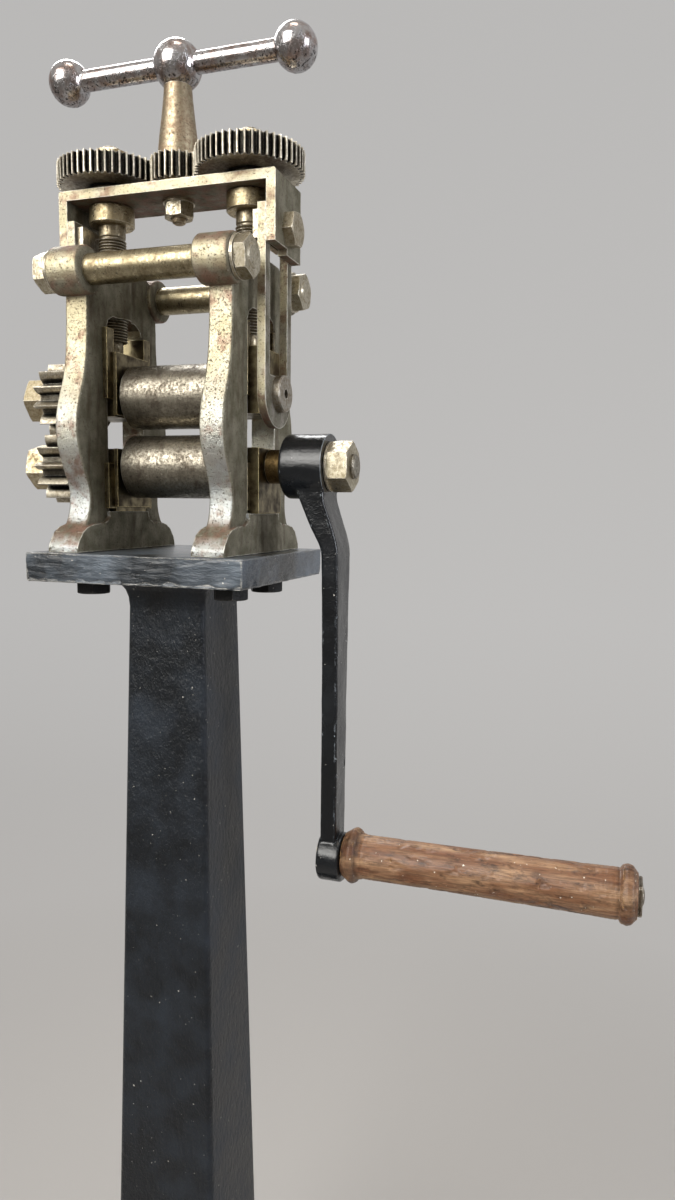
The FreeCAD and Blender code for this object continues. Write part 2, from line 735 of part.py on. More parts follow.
def make_frame(label, side):
    """Cast side frame with a foot, two legs, a head and an open window."""
    body = new_body(label, dim("frame_x") * side, 0.0, "plate_top")
    foot = dim("foot_half").value
    top = dim("head_top").value
    last_y, last_z = FRAME_SIDE[-1]
    head = [(last_y - 6.0, top - 6.0), (last_y - 16.0, top)]
    edges = [segment((-foot, 0.0), (foot, 0.0)), segment((foot, 0.0), FRAME_SIDE[0])]
    edges.append(frame_curve(False))
    edges.append(segment((last_y, last_z), head[0]))
    edges.append(segment(head[0], head[1]))
    edges.append(segment(head[1], (-head[1][0], top)))
    edges.append(segment((-head[1][0], top), (-head[0][0], head[0][1])))
    edges.append(segment((-head[0][0], head[0][1]), (-last_y, last_z)))
    edges.append(frame_curve(True))
    edges.append(segment((-FRAME_SIDE[0][0], FRAME_SIDE[0][1]), (-foot, 0.0)))
    drawing = Drawing(body, "leg_outline", "YZ", dim("frame_thick") * -0.5).outline(edges)
    pad(drawing, "frame_thick", "leg_pad")
    tall = top * 0.5
    fillet(body, 2.0, lambda e: flat_and_tall(e, tall), "leg_rounding")

    wide = [
        (66.0, 0.0), (66.0, 4.0), (63.8, 8.0), (59.2, 14.0), (53.5, 17.4), (45.0, 19.4),
        (33.0, 20.0), (28.6, 21.6), (26.4, 24.6), (25.6, 28.0),
    ]
    outline = wide + [(-y, z) for y, z in reversed(wide)]
    drawing = Drawing(body, "foot_outline", "YZ", dim("foot_thick") * -0.5).polygon(outline)
    pad(drawing, "foot_thick", "foot_pad")

    boss = Drawing(body, "boss_outline", "YZ", dim("tie_boss_x") * -0.5)
    for row in (-1.0, 1.0):
        boss.circle(dim("tie_y") * row, "tie_z", "tie_boss_r")
    pad(boss, "tie_boss_x", "boss_pad")
    half = dim("tie_boss_x").value * 0.5
    radius = dim("tie_boss_r").value
    fillet(body, 2.6, lambda e: flat_ring(e, radius, half), "boss_rounding")

    screw = Drawing(body, "screw_boss", "XY", dim("window_high") - 0.5)
    screw.circle(0.0, 0.0, "screw_boss_r")
    pad(screw, dim("head_top") - "window_high" + 0.5, "screw_boss_pad")

    low, high, wide_half = dim("window_low"), dim("window_high"), dim("window_half")
    corner = 9.0
    window = [
        (-wide_half, low), (wide_half, low),
        (wide_half, high - corner), (wide_half - 3.0, high - 3.2),
        (wide_half - corner, high), (-wide_half + corner, high),
        (-wide_half + 3.0, high - 3.2), (-wide_half, high - corner),
    ]
    drawing = Drawing(body, "window", "YZ", 20.0).polygon(window)
    pocket(drawing, 40.0, "window_pocket")
    holes = Drawing(body, "tie_holes", "YZ", 20.0)
    for row in (-1.0, 1.0):
        holes.circle(dim("tie_y") * row, "tie_z", dim("tie_r") + GAP)
    pocket(holes, 40.0, "tie_pocket")
    bore = Drawing(body, "screw_bore", "XY", dim("head_top") + 5.0)
    bore.circle(0.0, 0.0, dim("screw_r") + GAP)
    pocket(bore, dim("head_top") - "window_high" + 6.0, "screw_pocket")
    taps = Drawing(body, "mill_holes", "XY")
    for row in (-1.0, 1.0):
        taps.circle(0.0, dim("mill_bolt_y") * row, dim("mill_bolt_r") + GAP)
    pocket(taps, dim("mill_bolt_up") + 1.5, "mill_pocket", upwards=True)


def make_liners(label, side):
    """Four flanged bearing strips on the walls of a frame's window."""
    spans = (("low_liner_low", "low_liner_high"), ("high_liner_low", "high_liner_high"))
    face = dim("frame_x") - dim("frame_thick") * 0.5
    start, end = face - "liner_out", dim("frame_x") + dim("frame_thick") * 0.5
    near, wall, edge = dim("window_half") - "liner_thick", dim("window_half"), dim("liner_edge")
    strips = []
    for low, high in spans:
        for sign in (-1.0, 1.0):
            name = "%s_%s_%d" % (label, low, sign)
            body = doc.addObject("PartDesign::Body", name)
            place(body, 0.0, 0.0, "plate_top", 180.0 if side < 0 else 0.0)
            outline = [
                (start, near * sign), (end, near * sign), (end, wall * sign),
                (face, wall * sign), (face, edge * sign), (start, edge * sign),
            ]
            pad(Drawing(body, "strip", "XY", low).polygon(outline), dim(high) - low)
            strips.append(body)
    group(label, strips)


def make_tie_parts():
    """Two long bolts with spacer tubes, washers and nuts."""
    outer = dim("frame_x") + dim("tie_boss_x") * 0.5
    inner = dim("frame_x") - dim("tie_boss_x") * 0.5
    washer, flats = 2.0, dim("tie_flats")
    tip = dim("tie_end").value - 0.1
    bolts, washers, nuts = [], [], []
    for name, row in (("front", -1.0), ("rear", 1.0)):
        y, z = dim("tie_y") * row, plate("tie_z")
        tube = "%s_spacer_tube" % name
        ring_x(tube, dim("tie_r") + 0.3, "tube_r", -inner, inner, 0.0, y, z)
        bolt = doc.addObject("PartDesign::Body", "tie_bolt_%s" % name)
        place(bolt, 0.0, y, z)
        turn = 30.0 if row < 0 else 8.0
        head = Drawing(bolt, "head", "YZ", -(outer + washer + 9.0))
        pad(head.hexagon(0.0, 0.0, flats, turn), 9.0, "head_pad")
        shank = Drawing(bolt, "shank", "YZ", -(outer + washer)).circle(0.0, 0.0, "tie_r")
        pad(shank, outer + washer + "tie_end", "shank_pad")
        chamfer(bolt, 1.2, lambda e: e.BoundBox.XMin > tip)
        crown(bolt, flats, [(-(outer + washer + 9.0), 1.0)])
        bolts.append(bolt)
        for side in (-1.0, 1.0):
            ring = doc.addObject("PartDesign::Body", "tie_washer_%s_%d" % (name, side))
            place(ring, 0.0, y, z)
            start = outer if side > 0 else -(outer + washer)
            drawing = Drawing(ring, "ring", "YZ", start).circle(0.0, 0.0, 14.0)
            drawing.circle(0.0, 0.0, dim("tie_r") + GAP)
            pad(drawing, washer)
            washers.append(ring)
        nut = doc.addObject("PartDesign::Body", "tie_nut_%s" % name)
        place(nut, 0.0, y, z)
        drawing = Drawing(nut, "hexagon", "YZ", outer + washer)
        drawing.hexagon(0.0, 0.0, flats, turn + 11.0)
        drawing.circle(0.0, 0.0, dim("tie_r") + GAP)
        pad(drawing, 8.0)
        crown(nut, flats, [(outer + washer, 1.0), (outer + washer + 8.0, -1.0)])
        nuts.append(nut)
    group("tie_bolts", bolts)
    group("tie_washers", washers)
    group("tie_nuts", nuts)


# Bearing blocks


def make_block(label, side, axis, low, high, flange_low, bore, blind=False):
    """Bearing block that fits a window, with a flange on its inner end."""
    rest = dim("frame_x") - dim("frame_thick") * 0.5 - "liner_out"
    half = dim("window_half") - "liner_thick" - GAP
    body = new_body(label, 0.0, 0.0, axis, 180.0 if side < 0 else 0.0)
    drawing = Drawing(body, "body_outline", "YZ", rest - 0.1)
    drawing.polygon([(-half, low), (half, low), (half, high), (-half, high)])
    pad(drawing, dim("block_out") - rest + 0.1, "body_pad")
    edge = dim("flange_half")
    flange = Drawing(body, "flange_outline", "YZ", "block_in")
    flange.polygon([(-edge, flange_low), (edge, flange_low), (edge, high), (-edge, high)])
    pad(flange, rest - 0.1 - "block_in", "flange_pad")
    start = dim("upper_right") + 1.0 if blind else dim("block_out") + 5.0
    hole = Drawing(body, "bore", "YZ", start).circle(0.0, 0.0, dim(bore) + GAP)
    pocket(hole, 60.0, "bore_pocket")
    if blind:
        tap = Drawing(body, "tap", "YZ", dim("block_out") + 1.0)
        tap.circle(0.0, 0.0, dim("strap_bolt_r") + GAP)
        pocket(tap, 9.0, "tap_pocket")
    return body


def make_blocks():
    """Two lower blocks and two upper blocks."""
    low = dim("window_low") - "lower_axis"
    args = (LOWER, low, dim("lower_block_top"), low + 3.2, "journal_r")
    make_block("lower_left_block", -1.0, *args)
    make_block("lower_right_block", 1.0, *args)
    base = -dim("upper_block_drop")
    args = (UPPER, base, dim("upper_block_rise"), base + 1.0)
    make_block("upper_left_block", -1.0, *args, "sleeve_r")
    make_block("upper_right_block", 1.0, *args, "journal_r", blind=True)


# Rolls and their gears


def cut_keyway(body, start, end, radius):
    """Cut a key slot along the top of a shaft that runs along X."""
    half = dim("key_side") * 0.5
    drawing = Drawing(body, "keyway", "XY", dim(radius) + 2.0)
    drawing.polygon([(start, -half), (end, -half), (end, half), (start, half)])
    pocket(drawing, half + 2.5, "keyway_pocket")


def make_rolls():
    """Lower and upper roll, each one piece with its shaft."""
    near, far = -dim("roll_gear_far"), -dim("roll_gear_near")
    left, half, stud = dim("roll_left"), dim("roll_half"), dim("crank_stud_r")
    step = dim("hub_out") + "crank_washer"
    lower_end, upper_end = dim("lower_right"), dim("upper_right")
    ends = {
        "lower_roll": [
            (step, "journal_r"), (step, stud), (lower_end - 1.2, stud), (lower_end, stud - 1.2),
        ],
        "upper_roll": [(upper_end - 1.2, "journal_r"), (upper_end, dim("journal_r") - 1.2)],
    }
    for label, axis in (("lower_roll", LOWER), ("upper_roll", UPPER)):
        stations = [
            (-left, dim("journal_r") - 1.2), (-left + 1.2, "journal_r"),
            (-half - 1.6, "journal_r"), (-half - 1.6, 13.0), (-half, 13.0),
            (-half, dim("roll_r") - 0.8), (-half + 0.8, "roll_r"), (half - 0.8, "roll_r"),
            (half, dim("roll_r") - 0.8), (half, 13.0), (half + 1.6, 13.0),
            (half + 1.6, "journal_r"),
        ]
        body = turned_x(label, stations + ends[label], 0.0, 0.0, axis)
        cut_keyway(body, near + 3.0, far - 3.0, "journal_r")
        if label == "lower_roll":
            cut_keyway(body, dim("hub_in") + 3.0, dim("hub_out") - 3.0, "journal_r")


def key_x(label, start, end, axis, clear=0.03):
    """Square key that lies along X on top of a shaft."""
    half = dim("key_side") * 0.5 - clear
    body = new_body(label, 0.0, 0.0, axis)
    drawing = Drawing(body, "outline", "XY", dim("journal_r") - 2.9)
    drawing.polygon([(start, -half), (end, -half), (end, half), (start, half)])
    pad(drawing, dim("key_side") - clear)


def make_roll_gears():
    """Pair of twelve-toothed gears with long teeth."""
    length = dim("roll_gear_far") - "roll_gear_near"
    start = -dim("roll_gear_far")
    tip, root = dim("roll_gear_tip").value, dim("roll_gear_root").value
    pairs = (("lower_roll_gear", LOWER, 90.0), ("upper_roll_gear", UPPER, 75.0))
    for label, axis, turn in pairs:
        corners = gear_outline(12, 3.75, tip, root, 0.5, 20.0, turn)
        blank = gear_blank(label, corners, length, "X")
        place(blank, start, 0.0, axis)
        base = blank
        if label == "lower_roll_gear":
            hub = cylinder(label + "_hub", 15.0, length + 9.0, (start, 0.0, axis), "X")
            base = fused(label + "_body", [blank, hub])
        before, after = start - 1.0, start + length + 20.0
        hole = dim("journal_r") + GAP
        bore = cylinder(label + "_bore", hole, after - before, (before, 0.0, axis), "X")
        half = dim("key_side") * 0.5
        rise = axis + "journal_r" + 3.2
        slot = block(label + "_slot", (before, -half, axis), (after, half, rise))
        cut_from(label, base, [bore, slot])
        key = label.replace("roll_gear", "gear_key")
        key_x(key, start + 3.2, start + length - 3.2, axis)


def nut_x(label, flats, bore, start, thick, spot, turn=0.0):
    """Hexagon nut on an axis along X, crowned at both ends."""
    body = new_body(label, *spot)
    drawing = Drawing(body, "hexagon", "YZ", start).hexagon(0.0, 0.0, flats, turn)
    drawing.circle(0.0, 0.0, dim(bore) + GAP)
    pad(drawing, thick)
    crown(body, flats, [(start, 1.0), (dim(start) + thick, -1.0)])


def make_roll_nuts():
    """Nuts on the gear ends of both roll shafts."""
    start = -(dim("roll_gear_far") + "big_nut_thick")
    args = ("big_nut_flats", "journal_r", start, "big_nut_thick")
    nut_x("lower_gear_nut", *args, (0.0, 0.0, LOWER), 17.0)
    nut_x("upper_gear_nut", *args, (0.0, 0.0, UPPER), 5.0)


# Crank and grip


def make_crank_arm():
    """Forged arm with a hub, a dog leg and an end boss."""
    body = new_body("crank_arm", 0.0, 0.0, LOWER)
    drop, hub_in, hub_out = -dim("crank_drop"), dim("hub_in"), dim("hub_out")
    near, far, down = dim("arm_in").value, dim("arm_out").value, drop.value
    start, step = hub_in.value + 5.0, hub_out.value - 0.05
    inside = [
        (start, 0.0), (93.6, -16.0), (97.0, -24.0), (102.4, -36.6), (near - 3.0, -50.8), (near, -64.0),
    ]
    outside = [
        (far, -60.0), (far - 1.6, -49.0), (119.8, -38.3), (116.0, -27.0), (step, -18.0),
    ]
    upright_way = FreeCAD.Vector(0, 1, 0)
    edges = [smooth(inside, None, -upright_way)]
    edges.append(segment(inside[-1], (near, down)))
    edges.append(segment((near, down), (far, down)))
    edges.append(segment((far, down), outside[0]))
    edges.append(smooth(outside, upright_way, upright_way))
    edges.append(segment(outside[-1], (step, 0.0)))
    edges.append(segment((step, 0.0), inside[0]))
    side = Drawing(body, "arm_side", "XZ", -16.6).outline(edges)
    pad(side, 33.2, "arm_pad")
    width = Drawing(body, "arm_front", "YZ", 140.0)
    low = down - 27.5
    taper = [(16.0, 5.0), (15.6, -40.0), (12.9, -130.0), (11.6, -230.0), (11.2, low)]
    for sign in (-1.0, 1.0):
        cheek = [(sign * a, b) for a, b in taper]
        loop = [smooth(cheek), segment(cheek[-1], (sign * 20.0, low))]
        loop.append(segment((sign * 20.0, low), (sign * 20.0, 5.0)))
        loop.append(segment((sign * 20.0, 5.0), cheek[0]))
        width.outline(loop)
    pocket(width, 80.0, "arm_cheeks")
    fillet(body, 2.4, lambda e: e.BoundBox.ZLength > 40.0 and e.BoundBox.YLength < 5.0, "arm_rounding")
    hub = Drawing(body, "hub_outline", "YZ", hub_in).circle(0.0, 0.0, "hub_r")
    pad(hub, hub_out - hub_in, "hub_pad")
    eye = Drawing(body, "eye_outline", "YZ", "eye_in").circle(0.0, drop - "eye_low", "eye_r")
    pad(eye, dim("eye_out") - "eye_in", "eye_pad")
    hub_r, eye_r = dim("hub_r").value, dim("eye_r").value
    fillet(body, 3.0, lambda e: flat_ring(e, hub_r), "hub_rounding")
    fillet(body, 2.4, lambda e: flat_ring(e, eye_r) and e.BoundBox.ZMax < 0.5 * down, "eye_rounding")
    bore = Drawing(body, "bore", "YZ", 140.0).circle(0.0, 0.0, dim("journal_r") + GAP)
    pocket(bore, 80.0, "bore_pocket")
    pin = Drawing(body, "pin_hole", "YZ", 140.0).circle(0.0, drop, dim("grip_pin_r") + GAP)
    pocket(pin, 80.0, "pin_pocket")
    half, rise = dim("key_side") * 0.5, dim("journal_r") + 3.2
    slot = Drawing(body, "key_slot", "YZ", 140.0)
    slot.polygon([(-half, 0.0), (half, 0.0), (half, rise), (-half, rise)])
    pocket(slot, 80.0, "key_pocket")


def make_crank_fittings():
    """Key, spacer, washer and nut that hold the crank on the lower shaft."""
    key_x("crank_key", dim("hub_in") + 3.2, dim("hub_out") - 3.2, LOWER)
    bore, face = dim("journal_r") + GAP, dim("hub_out")
    seat = face + "crank_washer"
    spot = (0.0, 0.0, LOWER)
    ring_x("crank_spacer", bore, 11.7, dim("block_out") + 0.7, "hub_in", *spot)
    ring_x("crank_washer", bore, 17.0, face, seat, *spot)
    nut_x("crank_nut", "big_nut_flats", "crank_stud_r", seat, "crank_nut_thick", spot, 29.0)


def make_grip():
    """Wooden grip that turns on a riveted spindle."""
    axis = LOWER - "crank_drop"
    pin, out, face = dim("grip_pin_r"), dim("grip_out"), dim("eye_in")
    seat = out + 2.8
    stations = [
        (face - 2.0, 7.5), (face, 7.5), (face, pin), (seat, pin), (seat, 5.9),
        (seat + 0.6, 5.6), (seat + 1.2, 4.0), (seat + 1.5, 1.2),
    ]
    turned_x("grip_spindle", stations, 0.0, 0.0, axis)
    square = new_body("grip_washer", 0.0, 0.0, axis)
    half = dim("grip_plate") * 0.5
    outline = Drawing(square, "outline", "YZ", out + 0.2)
    outline.polygon([(-half, -half), (half, -half), (half, half), (-half, half)])
    outline.circle(0.0, 0.0, pin + GAP)
    pad(outline, 2.6)
    body = new_body("grip", 0.0, 0.0, axis)
    bead, start, end = dim("bead_r").value, dim("grip_in").value, out.value
    slim, full, bore = dim("grip_r").value, dim("grip_r_out").value, pin.value + 0.05
    middle = 0.5 * (start + end)
    near = [
        (start, bore), (start, 15.6), (start + 2.6, bead - 2.0), (start + 3.4, bead - 1.8),
    ]
    far = [(end - 1.6, bead - 2.8), (end, 14.6), (end, bore), (start, bore)]
    neck = (start + 10.4, slim + 1.1)
    root = (end - 11.4, full - 0.3)
    barrel = [
        neck, (start + 12.6, slim + 0.5), (start + 14.4, slim), (middle, slim + 0.1),
        (end - 60.0, slim + 0.5), (end - 30.0, full - 0.4), (end - 14.0, full), root,
    ]
    line = [segment(a, b) for a, b in zip(near, near[1:])]
    line.append(arc_through(near[-1], (start + 6.9, bead), neck))
    line.append(segment(barrel[0], barrel[1]))
    line.append(segment(barrel[1], barrel[2]))
    line.append(smooth(barrel[2:-1]))
    line.append(segment(barrel[-2], barrel[-1]))
    line.append(arc_through(root, (end - 6.2, bead), far[0]))
    line += [segment(a, b) for a, b in zip(far, far[1:])]
    revolve(Drawing(body, "profile", "XZ").outline(line), "H_Axis")


# Bridge and straps


def make_bridge():
    """Flat bar bent down at both ends, with holes for the screws and spindle."""
    body = new_body("bridge", 0.0, 0.0, "plate_top")
    out, thick, top = dim("bridge_out"), dim("bridge_thick"), dim("bridge_top")
    low, half = dim("bridge_low"), dim("bridge_half")
    deep = low - "bridge_step"
    points = [
        (-out, deep), (-out, top), (out, top), (out, deep), (out - thick, deep),
        (out - thick, top - thick), (-out + thick, top - thick), (-out + thick, deep),
    ]
    drawing = Drawing(body, "side", "XZ", -half).polygon(points)
    pad(drawing, half * 2.0, "bar_pad")
    width = 2.0 * half.value - 0.1
    fillet(body, 1.6, lambda e: level(e, top.value) and e.BoundBox.YLength > width, "bend_rounding")
    notch = Drawing(body, "notch", "YZ", 90.0)
    notch.polygon([(-half - 1.0, deep - 1.0), (-2.0, deep - 1.0), (-2.0, low), (-half - 1.0, low)])
    pocket(notch, 180.0, "notch_pocket")
    holes = Drawing(body, "screw_holes", "XY", top + 5.0)
    for side in (-1.0, 1.0):
        holes.circle(dim("frame_x") * side, 0.0, dim("shank_r") + GAP)
    holes.circle(0.0, 0.0, 9.0 + GAP)
    pocket(holes, 20.0, "hole_pocket")
    bolts = Drawing(body, "bolt_holes", "YZ", 90.0)
    bolts.circle(0.0, "strap_bolt_z", dim("strap_bolt_r") + GAP)
    pocket(bolts, 180.0, "bolt_pocket")


def make_strap(label, side, hole):
    """Hanging strap with a long slot and a round lower end."""
    body = new_body(label, 0.0, 0.0, "plate_top", 180.0 if side < 0 else 0.0)
    half, top = dim("strap_half").value, dim("strap_top").value
    axis = dim("upper_axis").value
    edges = [
        segment((half, axis), (half, top)),
        segment((half, top), (-half, top)),
        segment((-half, top), (-half, axis)),
        arc_through((-half, axis), (0.0, axis - half), (half, axis)),
    ]
    drawing = Drawing(body, "outline", "YZ", "strap_in").outline(edges)
    pad(drawing, "strap_thick", "strap_pad")
    slot = Drawing(body, "slot", "YZ", 90.0)
    a, low, high = dim("slot_half"), dim("slot_low"), dim("slot_high")
    slot.polygon([(-a, low), (a, low), (a, high), (-a, high)])
    pocket(slot, 40.0, "slot_pocket")
    bore = Drawing(body, "bore", "YZ", 90.0).circle(0.0, "upper_axis", dim(hole) + GAP)
    pocket(bore, 40.0, "bore_pocket")


def make_strap_parts():
    """Straps with the bolts and tapped clamps that hold them to the bridge."""
    make_strap("left_strap", -1.0, "sleeve_r")
    make_strap("right_strap", 1.0, "strap_bolt_r")
    bolts, clamps = [], []
    thick, out, inner = 4.6, dim("bridge_out"), dim("strap_in")
    for side in (-1.0, 1.0):
        turn = 180.0 if side < 0 else 0.0
        end = inner - thick
        bolt = doc.addObject("PartDesign::Body", "strap_bolt_%d" % side)
        place(bolt, 0.0, 0.0, plate("strap_bolt_z"), turn)
        head = Drawing(bolt, "head", "YZ", out).hexagon(0.0, 0.0, 21.0, 8.0)
        pad(head, 7.5, "head_pad")
        shank = Drawing(bolt, "shank", "YZ", end + 0.2).circle(0.0, 0.0, "strap_bolt_r")
        pad(shank, out - end - 0.2, "shank_pad")
        crown(bolt, 21.0, [(out + 7.5, -1.0)])
        bolts.append(bolt)
        clamp = doc.addObject("PartDesign::Body", "strap_clamp_%d" % side)
        place(clamp, 0.0, 0.0, plate("strap_bolt_z"), turn)
        drawing = Drawing(clamp, "outline", "YZ", end)
        drawing.polygon([(-20.0, -9.0), (20.0, -9.0), (20.0, 9.0), (-20.0, 9.0)])
        drawing.circle(0.0, 0.0, dim("strap_bolt_r") + GAP)
        pad(drawing, thick)
        clamps.append(clamp)
    group("strap_bolts", bolts)
    group("strap_clamps", clamps)


def make_hanger_parts():
    """Flat screw on the right and sleeve on the left that carry the upper blocks."""
    face = dim("strap_in") + "strap_thick"
    body = turned_x("strap_screw", [
        (dim("block_out") - 7.5, "strap_bolt_r"), (face, "strap_bolt_r"), (face, 12.5),
        (face + 5.0, 12.5), (face + 5.8, 11.7),
    ], 0.0, 0.0, UPPER)
    socket = Drawing(body, "socket", "YZ", face + 6.0).hexagon(0.0, 0.0, 6.0, 10.0)
    pocket(socket, 4.5, "socket_pocket")
    body = new_body("hanger_sleeve", 0.0, 0.0, UPPER)
    bore = dim("journal_r") + GAP
    points = [
        (-face - 3.0, bore), (-face - 3.0, 15.5), (-face, 15.5), (-face, "sleeve_r"),
        (-dim("block_in") - 0.3, "sleeve_r"), (-dim("block_in") - 0.3, bore),
    ]
    revolve(Drawing(body, "profile", "XZ").polygon(points), "H_Axis")
    body = new_body("spindle_bush", 0.0, 0.0, "plate_top")
    top = dim("bridge_top")
    bore = dim("spindle_r") + GAP
    points = [
        (bore, top - "bridge_thick"), (9.0, top - "bridge_thick"), (9.0, top), (15.0, top),
        (15.0, dim("pinion_low") - 0.1), (bore, dim("pinion_low") - 0.1),
    ]
    revolve(Drawing(body, "profile", "XZ").polygon(points), "V_Axis")


# Pressure screws


def make_screw(label, side):
    """Pressure screw with a ringed thread, a plain shank and a blunt nose."""
    x = dim("frame_x") * side
    body = new_body(label, x, 0.0, "plate_top")
    crest, pitch = dim("screw_r").value, dim("screw_pitch").value
    root = crest - 0.61 * pitch
    low, high = dim("thread_low").value, dim("thread_high").value
    shank, neck = dim("shank_r").value, dim("neck_r").value
    gear, top = dim("gear_low").value, dim("gear_high").value
    nose = dim("upper_axis").value + dim("upper_block_rise").value + 0.15
    points = [(0.0, nose), (5.6, nose), (6.6, nose + 1.0), (6.6, low), (crest - 0.6, low)]
    level = low + 0.6
    while level < high - 0.01:
        points += [(crest, level), (root, level + pitch * 0.5)]
        level += pitch
    points += [(root, high + 1.2), (shank, high + 2.4), (shank, gear), (neck, gear), (neck, top)]
    points += [(7.0, top), (7.0, top + 13.0), (6.0, top + 14.0), (0.0, top + 14.0)]
    spots = [FreeCAD.Vector(a, b, 0) for a, b in points]
    edges = [Part.LineSegment(a, b) for a, b in zip(spots, spots[1:] + spots[:1])]
    revolve(Drawing(body, "profile", "XZ").outline(edges), "V_Axis")


def make_screw_gear(label, x, teeth, low, high, bore, turn, web):
    """Spur gear on an upright axis, with a plain hub below it."""
    module = dim("gear_module").value
    pitch = 0.5 * teeth * module
    corners = gear_outline(teeth, module, pitch + module, pitch - 1.2 * module, 0.16, 20.0, turn)
    blank = gear_blank(label, corners, dim(high) - low, "Z")
    place(blank, x, 0.0, plate(low))
    base = blank
    if web:
        under = dim("bridge_top") + 0.1
        hub = cylinder(label + "_hub", 15.0, dim(low) - under, (x, 0.0, plate(under)))
        base = fused(label + "_body", [blank, hub])
    hole = cylinder(label + "_bore", dim(bore) + GAP, 60.0, (x, 0.0, plate(230.0)))
    wide = cylinder(label + "_wide", dim("shank_r") + GAP, 30.0, (x, 0.0, plate(dim(low) - 30.0)))
    cut_from(label, base, [hole, wide] if web else [hole])


def make_screws():
    """Both pressure screws with their gears, collars and nuts."""
    for name, side in (("left", -1.0), ("right", 1.0)):
        x = dim("frame_x") * side
        make_screw("%s_screw" % name, side)
        teeth = int(dim("gear_teeth").value)
        args = (x, teeth, "gear_low", "gear_high", "neck_r", 3.75, True)
        make_screw_gear("%s_screw_gear" % name, *args)
        start = dim("bridge_top") - "bridge_thick" - 0.1
        body = new_body("%s_collar" % name, x, 0.0, "plate_top")
        bore, out = dim("shank_r") + GAP, dim("collar_r")
        points = [
            (bore, "collar_low"), (out - 1.0, "collar_low"), (out, dim("collar_low") + 1.0),
            (out, start - 1.0), (out - 1.0, start), (bore, start),
        ]
        revolve(Drawing(body, "profile", "XZ").polygon(points), "V_Axis")
        nut = new_body("%s_screw_nut" % name, x, 0.0, "plate_top")
        drawing = Drawing(nut, "hexagon", "XY", "gear_high").hexagon(0.0, 0.0, 22.0, 12.0)
        drawing.circle(0.0, 0.0, 7.0 + 0.05)
        pad(drawing, 11.0)
        crown(nut, 22.0, [("gear_high", 1.0), (dim("gear_high") + 11.0, -1.0)], "V_Axis")


# T handle


def make_handle_spindle():
    """Spindle with a tapered stem above the pinion and a tenon in the ball."""
    body = new_body("handle_spindle", 0.0, 0.0, "plate_top")
    low, over, slim, high = dim("spindle_low"), dim("pinion_high"), dim("spindle_r"), dim("stem_high")
    tenon = dim("bar_z") - "bar_r" - 0.5
    wide, taper, tall = dim("stem_r_high"), dim("stem_r_low") - "stem_r_high", high - over
    points = [
        (0.0, low), (3.2, low), (4.6, low + 0.9), (5.2, low + 2.6), (5.2, low + 4.0),
        (slim, low + 4.8), (slim, over),
    ]
    for part, rest in ((0.0, 1.0), (0.02, 1.0), (0.28, 0.77), (0.56, 0.42), (0.84, 0.12), (1.0, 0.0)):
        points.append((wide + taper * rest, over + tall * part))
    points += [("tenon_r", high), ("tenon_r", tenon), (0.0, tenon)]
    revolve(Drawing(body, "profile", "XZ").polygon(points), "V_Axis")
    half, deep, start, end = pinion_key_sizes()
    drawing = Drawing(body, "keyway", "XZ", -half)
    drawing.polygon([(deep, start), (slim + 3.0, start), (slim + 3.0, end), (deep, end)])
    pocket(drawing, half * 2.0, "keyway_pocket", upwards=True)


def pinion_key_sizes():
    """Give the half width, floor, bottom and top of the pinion's key slot."""
    return dim("pinion_key") * 0.5, dim("spindle_r") - 2.0, dim("pinion_low") + 2.0, dim("pinion_high") - 2.0


def make_pinion():
    """Pinion with its key, washer and nut on the spindle."""
    slim, under, over = dim("spindle_r"), dim("pinion_low"), dim("pinion_high")
    teeth = int(dim("pinion_teeth").value)
    module = dim("gear_module").value
    pitch = 0.5 * teeth * module
    corners = gear_outline(teeth, module, pitch + module, pitch - 1.2 * module, 0.16, 20.0, 0.0)
    blank = gear_blank("pinion", corners, over - under, "Z")
    place(blank, 0.0, 0.0, plate(under))
    before, after = under - 10.0, over + 10.0
    half, deep, start, end = pinion_key_sizes()
    hole = cylinder("pinion_bore", slim + GAP, after - before, (0.0, 0.0, plate(before)))
    slot = block("pinion_slot", (0.0, -half, plate(before)), (slim + 2.2, half, plate(after)))
    cut_from("pinion", blank, [hole, slot])
    key = new_body("pinion_key", 0.0, 0.0, "plate_top")
    inner, outer, side = deep + GAP, slim + 2.1, half - GAP
    drawing = Drawing(key, "outline", "XY", start + 0.1)
    drawing.polygon([(inner, -side), (outer, -side), (outer, side), (inner, side)])
    pad(drawing, end - start - 0.2)
    face = dim("bridge_top") - "bridge_thick"
    seat = face - 2.1
    ring_z("spindle_washer", slim + GAP, 11.0, seat, face - 0.1, 0.0, 0.0, "plate_top")
    nut = new_body("spindle_nut", 0.0, 0.0, "plate_top")
    drawing = Drawing(nut, "hexagon", "XY", seat - 9.5).hexagon(0.0, 0.0, 19.0, 4.0)
    drawing.circle(0.0, 0.0, slim + GAP)
    pad(drawing, 9.5)
    crown(nut, 19.0, [(seat - 9.5, 1.0), (seat, -1.0)], "V_Axis")


